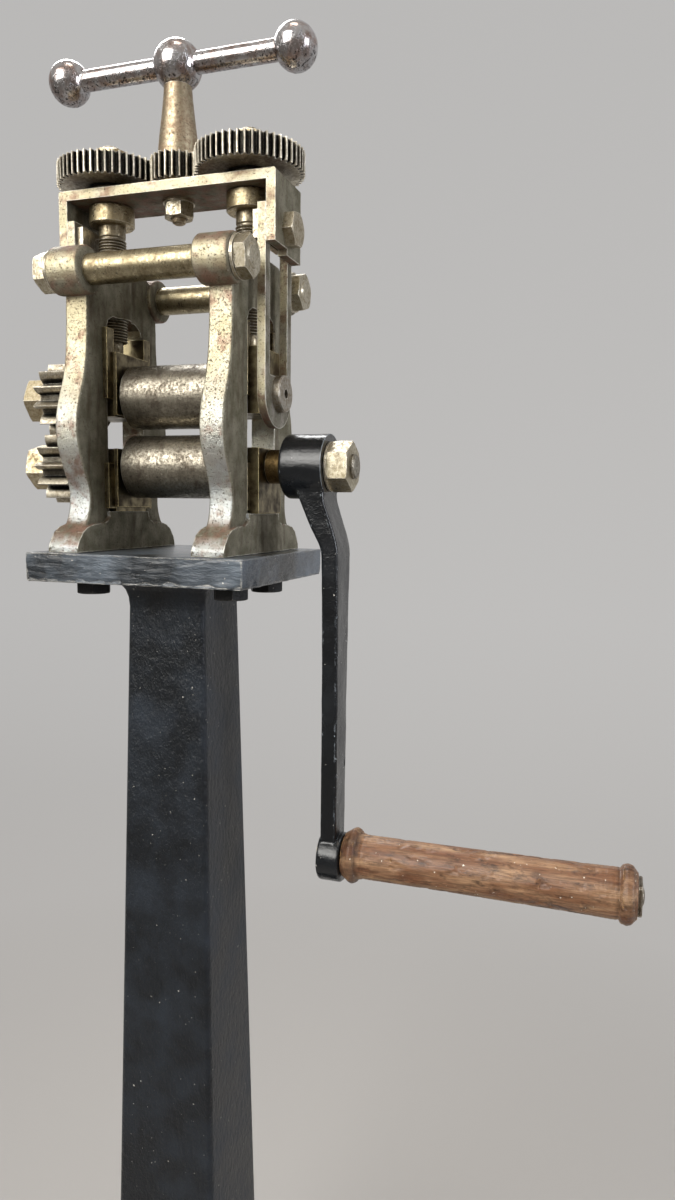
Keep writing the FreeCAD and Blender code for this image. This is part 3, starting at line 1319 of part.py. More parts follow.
def make_handle():
    """Ball, bar and knobs of the adjusting handle."""
    centre, high = plate("bar_z"), plate("stem_high")
    ball = doc.addObject("Part::Sphere", "handle_ball_blank")
    ball.setExpression("Radius", dim("ball_r").text)
    place(ball, 0.0, 0.0, centre)
    bore = cylinder("handle_ball_bore", dim("bar_r") + GAP, 60.0, (-30.0, 0.0, centre), "X")
    foot = cylinder("handle_ball_foot", 30.0, 10.0, (0.0, 0.0, high + GAP - 10.0))
    rise = dim("bar_z") - "stem_high"
    root = cylinder("handle_ball_root", dim("tenon_r") + GAP, rise, (0.0, 0.0, high))
    cut_from("handle_ball", ball, [bore, foot, root])
    reach = dim("bar_half")
    end = reach + "knob_half" - 3.0
    turned_x("handle_bar", [(-end, "bar_r"), (end, "bar_r")], 0.0, 0.0, centre)
    knobs = []
    long, tall, hole = dim("knob_half").value, dim("knob_r").value, (dim("bar_r") + GAP).value
    mouth = -long * math.sqrt(1.0 - (hole / tall) ** 2)
    depth = long - 3.0 + GAP.value
    for name, turn in (("left", 180.0), ("right", 0.0)):
        knob = doc.addObject("PartDesign::Body", "%s_knob" % name)
        place(knob, -reach if turn else reach, 0.0, centre, turn)
        points = []
        for i in range(17):
            across = mouth + (long - mouth) * (1.0 - math.cos(math.pi * i / 16)) * 0.5
            points.append((across, tall * math.sqrt(max(0.0, 1.0 - (across / long) ** 2))))
        loop = [smooth(points), segment(points[-1], (depth, 0.0))]
        loop += [segment((depth, 0.0), (depth, hole)), segment((depth, hole), points[0])]
        revolve(Drawing(knob, "profile", "XZ").outline(loop), "H_Axis")
        knobs.append(knob)
    group("handle_knobs", knobs)


def check(item):
    """Stop if an object failed or its shape isn't sound."""
    bad = [state for state in item.State if state in ("Invalid", "Error")]
    if bad:
        raise RuntimeError("%s is %s" % (item.Label, ", ".join(bad)))
    shape = getattr(item, "Shape", None)
    if item.isDerivedFrom("Part::Feature") and (shape is None or shape.isNull() or not shape.isValid()):
        raise RuntimeError("%s has no sound shape" % item.FullName)


def main():
    """Build every piece, check it and write its file."""
    make_floor_plate()
    make_post()
    make_mounting_plate()
    make_mill_bolts()
    make_frame("left_frame", -1.0)
    make_frame("right_frame", 1.0)
    make_liners("left_liners", -1.0)
    make_liners("right_liners", 1.0)
    make_tie_parts()
    make_blocks()
    make_rolls()
    make_roll_gears()
    make_roll_nuts()
    make_crank_arm()
    make_crank_fittings()
    make_grip()
    make_bridge()
    make_strap_parts()
    make_hanger_parts()
    make_screws()
    make_handle_spindle()
    make_pinion()
    make_handle()
    doc.recompute()
    for item in doc.Objects:
        check(item)
    for node in NODES:
        node.Shape.exportStep("parts/%s.step" % node.Label)
        print("%-20s %d solids, %.0f cubic mm" % (node.Label, len(node.Shape.Solids), node.Shape.Volume))
    print("%d pieces" % len(NODES))


main()
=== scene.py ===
"""Dresses a jewellers rolling mill on its square post: finishes, worn surfaces, light and camera."""

import logging
import math
from collections.abc import Callable, Iterable
from dataclasses import dataclass, field
from enum import Enum

import bmesh
import bpy
from mathutils import Matrix, Vector, noise


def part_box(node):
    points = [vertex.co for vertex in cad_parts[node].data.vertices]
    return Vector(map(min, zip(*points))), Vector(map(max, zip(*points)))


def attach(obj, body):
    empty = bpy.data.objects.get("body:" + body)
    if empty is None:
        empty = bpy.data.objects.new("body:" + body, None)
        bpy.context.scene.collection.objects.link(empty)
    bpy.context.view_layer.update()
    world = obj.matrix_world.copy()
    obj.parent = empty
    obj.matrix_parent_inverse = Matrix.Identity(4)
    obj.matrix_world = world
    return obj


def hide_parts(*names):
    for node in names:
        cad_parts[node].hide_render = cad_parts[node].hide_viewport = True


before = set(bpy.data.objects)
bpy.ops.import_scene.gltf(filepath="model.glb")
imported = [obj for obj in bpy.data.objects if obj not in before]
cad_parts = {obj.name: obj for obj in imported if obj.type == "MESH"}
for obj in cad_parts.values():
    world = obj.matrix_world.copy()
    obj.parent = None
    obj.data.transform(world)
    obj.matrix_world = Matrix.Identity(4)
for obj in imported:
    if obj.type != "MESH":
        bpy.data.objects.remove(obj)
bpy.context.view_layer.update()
LOG = logging.getLogger("rolling_mill")

Socket = bpy.types.NodeSocket
MILLIMETRE = 0.001
# Heights above the floor, in metres.
PLATE_TOP = 0.8
LOWER_AXIS = 0.8603
UPPER_AXIS = 0.9097
GRIP_AXIS = 0.5878
TIE_AXIS = 0.9888
STRAP_BOLT_AXIS = 1.0175


class Along(Enum):
    """The axis that a part was turned, drawn or ground along."""

    X = 0
    Y = 1
    Z = 2


def to_linear(colour: str) -> tuple[float, float, float, float]:
    """Turns an sRGB hex colour to the linear values a shader takes.

    Args:
        colour: six hex digits after a hash mark.

    Returns:
        Red, green, blue and an alpha of 1.
    """
    values = [int(colour[i : i + 2], 16) / 255 for i in (1, 3, 5)]
    red, green, blue = (v / 12.92 if v <= 0.04045 else ((v + 0.055) / 1.055) ** 2.4 for v in values)
    return red, green, blue, 1.0


def add_node(
    tree: bpy.types.NodeTree,
    kind: str,
    settings: dict[str | int, object] | None = None,
    links: dict[str | int, Socket] | None = None,
) -> bpy.types.Node:
    """Adds a node with its settings and its links.

    Args:
        tree: the node tree that takes the node.
        kind: the node's type name after ShaderNode.
        settings: values for the node's own properties, or for its inputs by name or number.
        links: the output socket that feeds each named or numbered input.

    Returns:
        The new node.
    """
    node = tree.nodes.new("ShaderNode" + kind)
    for key, value in (settings or {}).items():
        if isinstance(key, str) and hasattr(node, key):
            setattr(node, key, value)
        else:
            node.inputs[key].default_value = value
    for key, source in (links or {}).items():
        tree.links.new(source, node.inputs[key])
    return node


class Surface:
    """The node tree of one material, with the patterns that its finish is made of."""

    def __init__(self, name: str) -> None:
        """Starts an empty tree that reads the object's own coordinates."""
        self.material = bpy.data.materials.new(name)
        self.material.use_nodes = True
        self.tree = self.material.node_tree
        self.tree.nodes.clear()
        self.place = add_node(self.tree, "TexCoord").outputs["Object"]

    def stretched(self, factors: tuple[float, float, float]) -> Socket:
        """Gives the object's coordinates, multiplied along each axis."""
        return add_node(
            self.tree, "VectorMath", {"operation": "MULTIPLY", 1: factors}, {0: self.place}
        ).outputs[0]

    def turned(self, along: Along, centre: tuple[float, float, float]) -> Socket:
        """Gives coordinates that run with a lathe's tool marks.

        Args:
            along: the axis that the part was turned about.
            centre: a point on that axis, in metres.

        Returns:
            A vector of distance from the axis, place along it, and a trace of the angle.
        """
        shifted = add_node(
            self.tree, "VectorMath", {"operation": "SUBTRACT", 1: centre}, {0: self.place}
        ).outputs[0]
        flat = [1.0, 1.0, 1.0]
        flat[along.value] = 0.0
        radial = add_node(
            self.tree, "VectorMath", {"operation": "MULTIPLY", 1: flat}, {0: shifted}
        ).outputs[0]
        radius = add_node(self.tree, "VectorMath", {"operation": "LENGTH"}, {0: radial})
        split = add_node(self.tree, "SeparateXYZ", {}, {0: shifted})
        across = split.outputs[(along.value + 1) % 3]
        trace = add_node(self.tree, "Math", {"operation": "MULTIPLY", 1: 0.03}, {0: across})
        return add_node(
            self.tree,
            "CombineXYZ",
            {},
            {0: radius.outputs["Value"], 1: split.outputs[along.value], 2: trace.outputs[0]},
        ).outputs[0]

    def cloud(
        self,
        size: float,
        low: float = 0.35,
        high: float = 0.65,
        coordinates: Socket | None = None,
        detail: float = 4.0,
        roughness: float = 0.55,
        shift: float = 0.0,
    ) -> Socket:
        """Makes a soft cloudy pattern from 0 to 1.

        Args:
            size: the pattern's grain, in millimetres.
            low: the noise value that gives 0.
            high: the noise value that gives 1.
            coordinates: what the pattern is laid on; the object's own when left out.
            detail: how many finer layers are added.
            roughness: how strong the finer layers are.
            shift: moves the pattern, to give another of the same kind.

        Returns:
            The pattern's value.
        """
        source = coordinates or self.place
        if shift:
            source = add_node(
                self.tree, "VectorMath", {"operation": "ADD", 1: (shift,) * 3}, {0: source}
            ).outputs[0]
        grain = add_node(
            self.tree,
            "TexNoise",
            {"Scale": 1 / (size * MILLIMETRE), "Detail": detail, "Roughness": roughness},
            {"Vector": source},
        )
        return self.spread(grain.outputs[0], low, high)

    def spread(self, value: Socket, low: float, high: float, start: float = 0.0, end: float = 1.0) -> Socket:
        """Maps a value's range from low to high onto start to end, with its ends held."""
        return add_node(
            self.tree,
            "MapRange",
            {"From Min": low, "From Max": high, "To Min": start, "To Max": end},
            {"Value": value},
        ).outputs[0]

    def product(self, first: Socket, second: Socket | float) -> Socket:
        """Multiplies two values."""
        return self.arithmetic("MULTIPLY", first, second)

    def arithmetic(self, operation: str, first: Socket, second: Socket | float) -> Socket:
        """Joins two values by one operation.

        Args:
            operation: the arithmetic to do, such as ADD or MAXIMUM.
            first: the first value.
            second: the second value, a number or a socket.

        Returns:
            The result.
        """
        if isinstance(second, (int, float)):
            return add_node(self.tree, "Math", {"operation": operation, 1: second}, {0: first}).outputs[0]
        return add_node(self.tree, "Math", {"operation": operation}, {0: first, 1: second}).outputs[0]

    def coloured(self, amount: Socket, first: Socket | str, second: Socket | str) -> Socket:
        """Goes from one colour to another with a value.

        Args:
            amount: 0 shows the first colour and 1 the second.
            first: a hex colour or a colour socket.
            second: a hex colour or a colour socket.

        Returns:
            The colour.
        """
        settings: dict[str | int, object] = {"data_type": "RGBA"}
        links: dict[str | int, Socket] = {0: amount}
        for slot, colour in ((6, first), (7, second)):
            if isinstance(colour, str):
                settings[slot] = to_linear(colour)
            else:
                links[slot] = colour
        return add_node(self.tree, "Mix", settings, links).outputs[2]

    def facing(self, along: Along, low: float, high: float) -> Socket:
        """Finds the faces that look along one of the object's own axes, either way.

        Args:
            along: the axis.
            low: how nearly a face has to look along it to give more than 0.
            high: how nearly it has to do so to give 1.

        Returns:
            The share, from 0 to 1.
        """
        own = add_node(self.tree, "TexCoord").outputs["Normal"]
        part = add_node(self.tree, "SeparateXYZ", {}, {0: own}).outputs[along.value]
        either_way = add_node(self.tree, "Math", {"operation": "ABSOLUTE"}, {0: part}).outputs[0]
        return self.spread(either_way, low, high)

    def edges(self, width: float, breakup: float = 3.0) -> Socket:
        """Finds the outer edges, which the finishes paint pale: partly handling's wear, partly a painted
        highlight.

        Args:
            width: how far the pale edge reaches from the edge, in millimetres.
            breakup: the size of the gaps in it, in millimetres.

        Returns:
            1 on a pale painted edge and 0 away from it.
        """
        rounded = add_node(self.tree, "Bevel", {"samples": 6, "Radius": width * MILLIMETRE})
        true = add_node(self.tree, "NewGeometry").outputs["Normal"]
        agreement = add_node(
            self.tree, "VectorMath", {"operation": "DOT_PRODUCT"}, {0: rounded.outputs[0], 1: true}
        ).outputs["Value"]
        turned = self.spread(agreement, 0.995, 0.86)
        outer = self.spread(self.hollows(4 * width), 0.45, 0.15)
        return self.product(self.product(turned, outer), self.cloud(breakup, 0.3, 0.5, shift=3.1))

    def hollows(self, reach: float) -> Socket:
        """Finds the corners and gaps, which the finishes darken for dirt and as painted shade.

        Args:
            reach: how far a wall can be and still darken the spot, in millimetres.

        Returns:
            1 deep in a corner and 0 on an open face.
        """
        open_sky = add_node(
            self.tree,
            "AmbientOcclusion",
            {"samples": 8, "only_local": True, "Distance": reach * MILLIMETRE},
        ).outputs["AO"]
        return self.spread(open_sky, 1.0, 0.0)

    def relief(self, heights: Iterable[tuple[Socket, float]], radius: float = 0.0) -> Socket:
        """Bends the light as small heights would.

        Args:
            heights: each pattern with the height its full range stands for, in millimetres.
            radius: the small round on every edge, in millimetres.

        Returns:
            The surface's direction.
        """
        normal: Socket | None = None
        if radius:
            normal = add_node(self.tree, "Bevel", {"samples": 6, "Radius": radius * MILLIMETRE}).outputs[0]
        for height, depth in heights:
            links = {"Height": height}
            if normal is not None:
                links["Normal"] = normal
            normal = add_node(
                self.tree, "Bump", {"Strength": 1.0, "Distance": depth * MILLIMETRE}, links
            ).outputs[0]
        return normal

    def finish(
        self,
        colour: Socket | str,
        roughness: Socket,
        normal: Socket,
        metallic: Socket | float,
        constants: dict[str, object] | None = None,
    ) -> bpy.types.Material:
        """Joins the patterns in one shader.

        Args:
            colour: the base colour, as a pattern or as one hex colour all over.
            roughness: the roughness.
            normal: the surface's direction.
            metallic: 1 for bare metal and 0 for paint, or a pattern of both.
            constants: other shader inputs that are the same all over.

        Returns:
            The finished material.
        """
        links = {"Roughness": roughness, "Normal": normal}
        settings: dict[str | int, object] = dict(constants or {})
        if isinstance(colour, str):
            settings["Base Color"] = to_linear(colour)
        else:
            links["Base Color"] = colour
        if isinstance(metallic, (int, float)):
            settings["Metallic"] = float(metallic)
        else:
            links["Metallic"] = metallic
        shader = add_node(self.tree, "BsdfPrincipled", settings, links)
        add_node(self.tree, "OutputMaterial", {}, {0: shader.outputs[0]})
        return self.material


@dataclass(frozen=True)
class PlatedCastIron:
    """Grey cast iron, nickel plated, with its front and back faces ground first.

    The sand mould's grain shows as dark specks on the bright ground faces. Those have yellowed
    above and stay bluish below. The sides kept their rough cast skin, so they are olive, and
    their darker colour is partly that skin and partly painted shade. Copper brown shows where hands
    have worn the plating through; on faces that look upward or downward it is also a painted
    reflection of the dim room. Hollows are darkened for dirt and as painted shade, and edges are
    painted pale for wear and as a painted highlight.
    """

    name: str
    gilt: str = "#cbc1a2"
    silver: str = "#c4c9ca"
    skin: str = "#918c7a"
    dull_skin: str = "#6f6b58"
    stain: str = "#574b3a"
    grime_and_shade: str = "#1f1a13"
    copper: str = "#8d6c5c"
    rubbed_and_highlight: str = "#eeeade"
    roughness: float = 0.45
    heights: tuple[float, float] = (0.85, 0.93)

    def material(self) -> bpy.types.Material:
        """Builds the finish.

        Returns:
            The material.
        """
        skin = Surface(self.name)
        ground = skin.facing(Along.Y, 0.72, 0.93)
        # The moulding sand's grain is about 0.4 mm; drawn at 0.9 mm so that it shows.
        grain = skin.cloud(0.9, 0.3, 0.7, detail=3, roughness=0.7)
        specks = skin.cloud(1.5, 0.56, 0.66, detail=3, roughness=0.8, shift=1.7)
        mottle = skin.cloud(13, 0.36, 0.66, detail=5)
        drips = skin.cloud(6, 0.5, 0.7, skin.stretched((1, 1, 0.2)), detail=5, shift=5.3)
        worn = skin.cloud(17, 0.51, 0.63, detail=6, roughness=0.66, shift=8.8)
        hollow = skin.hollows(8)
        rub_and_highlight = skin.edges(1.3)
        height = add_node(skin.tree, "SeparateXYZ", {}, {0: skin.place}).outputs[Along.Z.value]
        yellowed = skin.spread(height, *self.heights, 0, 0.8)
        warmth = skin.arithmetic("ADD", yellowed, skin.product(mottle, 0.25))
        face = skin.coloured(warmth, self.silver, self.gilt)
        face = skin.coloured(skin.product(worn, 0.75), face, self.copper)
        # Copper on faces that look upward or downward: worn plating, and partly a painted reflection of the
        # dim room.
        touched = skin.cloud(8, 0.38, 0.6, detail=5, shift=6.1)
        handled_and_reflection = skin.product(skin.facing(Along.Z, 0.25, 0.8), touched)
        # The cast sides' darker colours are partly their cast skin and partly painted shade.
        side = skin.coloured(mottle, self.skin, self.dull_skin)
        side = skin.coloured(skin.product(drips, 0.7), side, self.stain)
        colour = skin.coloured(ground, side, face)
        colour = skin.coloured(skin.product(handled_and_reflection, 0.85), colour, self.copper)
        colour = skin.coloured(skin.product(specks, 0.9), colour, self.stain)
        # Corners and gaps go almost black: dirt, and painted shade.
        colour = skin.coloured(skin.spread(hollow, 0.22, 0.8, 0, 0.92), colour, self.grime_and_shade)
        # Edges go almost white: wear, and a painted highlight.
        colour = skin.coloured(rub_and_highlight, colour, self.rubbed_and_highlight)
        rough = skin.spread(mottle, 0, 1, self.roughness - 0.08, self.roughness + 0.1)
        rough = skin.arithmetic("ADD", rough, skin.spread(ground, 0, 1, 0.16, 0))
        rough = skin.arithmetic("SUBTRACT", rough, skin.product(rub_and_highlight, 0.1))
        rough = skin.arithmetic("ADD", rough, skin.product(hollow, 0.3))
        normal = skin.relief([(skin.cloud(5, 0.2, 0.8), 0.28), (grain, 0.16), (specks, -0.14)], 0.7)
        open_metal = skin.spread(hollow, 0.5, 1, 1, 0.3)
        bare = skin.product(open_metal, skin.spread(ground, 0, 1, 0.55, 1))
        return skin.finish(colour, rough, normal, bare)


@dataclass(frozen=True)
class TurnedSteel:
    """Bar steel turned or ground on a lathe.

    Tool marks run round the part, oil has browned the steel in patches, and gaps are darkened,
    partly for dirt and partly as painted shade. Edges are painted pale for wear and as a painted
    highlight.
    """

    name: str
    along: Along
    centre: tuple[float, float, float]
    bright: str = "#b9b3a6"
    brown: str = "#7d6c55"
    grime_and_shade: str = "#1d1913"
    rubbed_and_highlight: str = "#efe9dc"
    roughness: float = 0.3
    mark: float = 1.2
    mark_depth: float = 0.03
    reach: float = 4.0
    browning: float = 0.6
    filming: float = 0.6
    grime_and_shade_from: float = 0.2
    grime_and_shade_full: float = 0.75

    def material(self) -> bpy.types.Material:
        """Builds the finish.

        Returns:
            The material.
        """
        skin = Surface(self.name)
        path = skin.turned(self.along, self.centre)
        # Real tool marks are 0.1 to 0.2 mm apart; they are drawn coarser so that they show.
        marks = skin.cloud(self.mark, 0.25, 0.75, path, detail=3, roughness=0.7)
        bands = skin.cloud(self.mark * 7, 0.35, 0.65, path, detail=2, shift=2.2)
        patches = skin.cloud(9, 0.45, 0.66, detail=5, roughness=0.65)
        pits = skin.cloud(1.4, 0.6, 0.67, detail=3, roughness=0.75, shift=4.4)
        # Dried oil lies in a broken film of 1 to 3 mm islands, duller than the metal between.
        film = skin.cloud(2.4, 0.44, 0.6, detail=5, roughness=0.75, shift=3.7)
        hollow = skin.hollows(self.reach)
        rub_and_highlight = skin.edges(0.9, 2.0)
        colour = skin.coloured(skin.product(patches, self.browning), self.bright, self.brown)
        colour = skin.coloured(skin.product(bands, 0.25 * self.browning + 0.05), colour, self.brown)
        colour = skin.coloured(skin.product(film, self.filming), colour, self.brown)
        colour = skin.coloured(skin.product(pits, 0.8), colour, self.grime_and_shade)
        # Corners and gaps darken: dirt, and painted shade.
        colour = skin.coloured(skin.spread(hollow, self.grime_and_shade_from, self.grime_and_shade_full), colour, self.grime_and_shade)
        # Edges go pale: wear, and a painted highlight.
        colour = skin.coloured(rub_and_highlight, colour, self.rubbed_and_highlight)
        rough = skin.spread(marks, 0, 1, self.roughness - 0.08, self.roughness + 0.08)
        rough = skin.arithmetic("ADD", rough, skin.product(film, 0.4 * self.filming))
        rough = skin.arithmetic("ADD", rough, skin.product(patches, 0.1))
        rough = skin.arithmetic("ADD", rough, skin.product(hollow, 0.35))
        normal = skin.relief([(marks, self.mark_depth), (film, 0.04), (pits, -0.08)], 0.35)
        return skin.finish(colour, rough, normal, skin.spread(hollow, 0.3, 0.9, 1, 0.2))


@dataclass(frozen=True)
class PolishedSteel:
    """Steel polished and bright plated, now pitted.

    It mirrors its surroundings, with brown-black pits where the plating has gone. The pits crowd
    together on the undersides, which are painted duller and darker: partly tarnish, mostly painted
    shade. Its corners and gaps are painted dark for dirt and as painted shade.
    """

    name: str
    bright: str = "#d8d6d8"
    warm: str = "#a08274"
    pit_and_shade: str = "#14100d"
    dulled_and_shaded: str = "#3a332e"
    roughness: float = 0.1

    def material(self) -> bpy.types.Material:
        """Builds the finish.

        Returns:
            The material.
        """
        skin = Surface(self.name)
        # Pits of about 0.3 mm, drawn up to 1 mm wide so that they show.
        pits = skin.cloud(2.0, 0.53, 0.58, detail=4, roughness=0.8)
        own = add_node(skin.tree, "TexCoord").outputs["Normal"]
        upward = add_node(skin.tree, "SeparateXYZ", {}, {0: own}).outputs[Along.Z.value]
        # Undersides are painted darker, with more pits: partly tarnish, mostly painted shade.
        downward_tarnish_and_shade = skin.spread(upward, 0.1, -0.7, 0, 0.9)
        crowds = skin.arithmetic("ADD", skin.cloud(8, 0.42, 0.6, detail=3, shift=6.0), downward_tarnish_and_shade)
        spots = skin.product(pits, skin.spread(crowds, 0, 1))
        warm = skin.cloud(8, 0.42, 0.66, detail=4, shift=2.0)
        hollow = skin.hollows(4)
        colour = skin.coloured(skin.product(warm, 0.8), self.bright, self.warm)
        colour = skin.coloured(skin.product(downward_tarnish_and_shade, 0.45), colour, self.dulled_and_shaded)
        colour = skin.coloured(skin.product(spots, 0.95), colour, self.pit_and_shade)
        # Corners and gaps go dark: dirt, and painted shade.
        colour = skin.coloured(skin.spread(hollow, 0.3, 0.8), colour, self.pit_and_shade)
        rough = skin.spread(warm, 0, 1, self.roughness, self.roughness + 0.1)
        rough = skin.arithmetic("ADD", rough, skin.product(spots, 0.3))
        normal = skin.relief([(skin.cloud(5, 0.2, 0.8, detail=2), 0.015), (spots, -0.05)], 0.4)
        return skin.finish(colour, rough, normal, skin.spread(spots, 0, 1, 1, 0.6))


@dataclass(frozen=True)
class BlackEnamel:
    """Oil enamel brushed over rough steel.

    The film follows the metal's pits and carries dust and pale specks. Its worn corners are painted
    pale, partly bare wear and partly a painted highlight, and its hollows dark, partly dirt and
    partly painted shade.
    """

    name: str
    black: str = "#0d1014"
    faded: str = "#1e242b"
    worn: str = "#7d7a74"
    speck: str = "#d7d4cc"
    grime_and_shade: str = "#0c0b0a"
    roughness: float = 0.42
    coat: float = 0.15
    lump: float = 4.0
    lump_depth: float = 0.45
    fine_depth: float = 0.22
    stretch: tuple[float, float, float] = (1.0, 1.0, 1.0)
    chips_and_highlight: float = 0.5
    edge: float = 1.3

    def material(self) -> bpy.types.Material:
        """Builds the finish.

        Returns:
            The material.
        """
        skin = Surface(self.name)
        strokes = skin.cloud(self.lump, 0.25, 0.75, skin.stretched(self.stretch), detail=4, roughness=0.6)
        fine = skin.cloud(1.3, 0.3, 0.7, skin.stretched(self.stretch), detail=3, shift=1.1)
        fade = skin.cloud(38, 0.4, 0.68, detail=5, shift=7.5)
        specks = skin.cloud(2.4, 0.735, 0.76, detail=1.5, roughness=0.8, shift=9.2)
        rub_and_highlight = skin.edges(self.edge, 5.0)
        hollow = skin.hollows(8)
        colour = skin.coloured(fade, self.black, self.faded)
        colour = skin.coloured(skin.product(strokes, 0.25), colour, self.faded)
        # Corners go pale: worn paint, and a painted highlight.
        colour = skin.coloured(skin.product(rub_and_highlight, self.chips_and_highlight), colour, self.worn)
        colour = skin.coloured(skin.product(specks, 0.9), colour, self.speck)
        # Corners and gaps darken: dirt, and painted shade.
        colour = skin.coloured(skin.spread(hollow, 0.3, 0.9, 0, 0.6), colour, self.grime_and_shade)
        rough = skin.spread(fade, 0, 1, self.roughness - 0.06, self.roughness + 0.12)
        rough = skin.arithmetic("ADD", rough, skin.product(specks, 0.3))
        normal = skin.relief([(strokes, self.lump_depth), (fine, self.fine_depth)], 1.0)
        constants = {"Coat Weight": self.coat, "Coat Roughness": 0.2, "Specular IOR Level": 0.35}
        return skin.finish(colour, rough, normal, 0.0, constants)


@dataclass(frozen=True)
class BearingBronze:
    """Cast bronze, machined all over.

    It is dull brown gold where nothing rubs. Its corners are painted yellower for wear and as a
    painted highlight, and its hollows darker for dirt and as painted shade.
    """

    name: str
    gold: str = "#8f8468"
    brown: str = "#4d4334"
    grime_and_shade: str = "#1b150c"
    rubbed_and_highlight: str = "#e3cf9c"

    def material(self) -> bpy.types.Material:
        """Builds the finish.

        Returns:
            The material.
        """
        skin = Surface(self.name)
        # Shaper marks of 0.3 mm, drawn 1 mm wide so that they show.
        marks = skin.cloud(1.0, 0.3, 0.7, skin.stretched((1, 0.05, 1)), detail=3)
        patches = skin.cloud(8, 0.35, 0.65, detail=5)
        hollow = skin.hollows(5)
        rub_and_highlight = skin.edges(0.8, 2.0)
        colour = skin.coloured(patches, self.gold, self.brown)
        # Corners and gaps darken: dirt, and painted shade.
        colour = skin.coloured(skin.spread(hollow, 0.3, 0.8), colour, self.grime_and_shade)
        # Corners go yellower: wear, and a painted highlight.
        colour = skin.coloured(rub_and_highlight, colour, self.rubbed_and_highlight)
        rough = skin.spread(patches, 0, 1, 0.3, 0.5)
        normal = skin.relief([(marks, 0.04)], 0.4)
        return skin.finish(colour, rough, normal, 1.0)


@dataclass(frozen=True)
class TurnedWood:
    """Beech turned between centres, stained red-brown and oiled by hands.

    The grain runs along the grip, the finish is worn pale in places, its edges are painted pale for
    wear and as a painted highlight, and the beads are darker, the one next to the arm most of all.
    """

    name: str
    light: str = "#bf9a76"
    middle: str = "#7f5439"
    dark: str = "#2e1d14"
    grime_and_shade: str = "#1f120b"
    rubbed_and_highlight: str = "#d8a868"
    fleck: str = "#e9e2d4"
    bead_ends: tuple[float, float] = (0.1405, 0.313)
    bead_blend: float = 0.002
    bead_dark: tuple[float, float] = (0.75, 0.35)

    def material(self) -> bpy.types.Material:
        """Builds the finish.

        Returns:
            The material.
        """
        skin = Surface(self.name)
        # Growth rings are 1 to 3 mm apart and pores 0.1 mm wide; the pores are drawn at 0.7 mm.
        rings = skin.cloud(6, 0.35, 0.65, skin.stretched((0.12, 1, 1)), detail=3)
        pores = skin.cloud(0.9, 0.4, 0.72, skin.stretched((0.06, 1, 1)), detail=3, roughness=0.7, shift=2.6)
        stain = skin.cloud(22, 0.42, 0.6, skin.stretched((0.6, 1, 1)), detail=5, shift=4.9)
        soot = skin.cloud(6, 0.54, 0.68, skin.stretched((0.5, 1, 1)), detail=5, roughness=0.65, shift=8.1)
        flecks = skin.cloud(2.2, 0.75, 0.77, detail=1, shift=3.3)
        length = add_node(skin.tree, "SeparateXYZ", {}, {0: skin.place}).outputs[Along.X.value]
        left = skin.spread(length, self.bead_ends[0] + self.bead_blend, self.bead_ends[0])
        right = skin.spread(length, self.bead_ends[1] - self.bead_blend, self.bead_ends[1])
        beads = skin.arithmetic("MAXIMUM", left, right)
        hollow = skin.hollows(4)
        colour = skin.coloured(rings, self.light, self.middle)
        colour = skin.coloured(skin.product(stain, 0.6), colour, self.middle)
        colour = skin.coloured(skin.product(pores, 0.7), colour, self.dark)
        colour = skin.coloured(skin.product(soot, 0.75), colour, self.dark)
        dimmed = skin.spread(length, 0.2, 0.3, *self.bead_dark)
        stained = skin.product(skin.spread(stain, 0, 1, 0.4, 1), dimmed)
        colour = skin.coloured(skin.product(beads, stained), colour, self.dark)
        # Corners and gaps darken: dirt, and painted shade.
        colour = skin.coloured(skin.spread(hollow, 0.15, 0.6), colour, self.grime_and_shade)
        # Edges go pale: worn finish, and a painted highlight.
        colour = skin.coloured(skin.product(skin.edges(1.2), 0.7), colour, self.rubbed_and_highlight)
        colour = skin.coloured(flecks, colour, self.fleck)
        rough = skin.spread(stain, 0, 1, 0.5, 0.34)
        normal = skin.relief([(pores, -0.08), (rings, 0.05)], 0.5)
        return skin.finish(colour, rough, normal, 0.0, {"IOR": 1.5})


Finish = PlatedCastIron | TurnedSteel | PolishedSteel | BlackEnamel | BearingBronze | TurnedWood


def dress(nodes: Iterable[str], finish: Finish) -> None:
    """Gives CAD nodes one finish.

    Args:
        nodes: the nodes' names.
        finish: the finish, made once for all of them.
    """
    material = finish.material()
    for name in nodes:
        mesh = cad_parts[name].data
        mesh.materials.clear()
        mesh.materials.append(material)
        LOG.info("%s dressed in %s", name, finish.name)


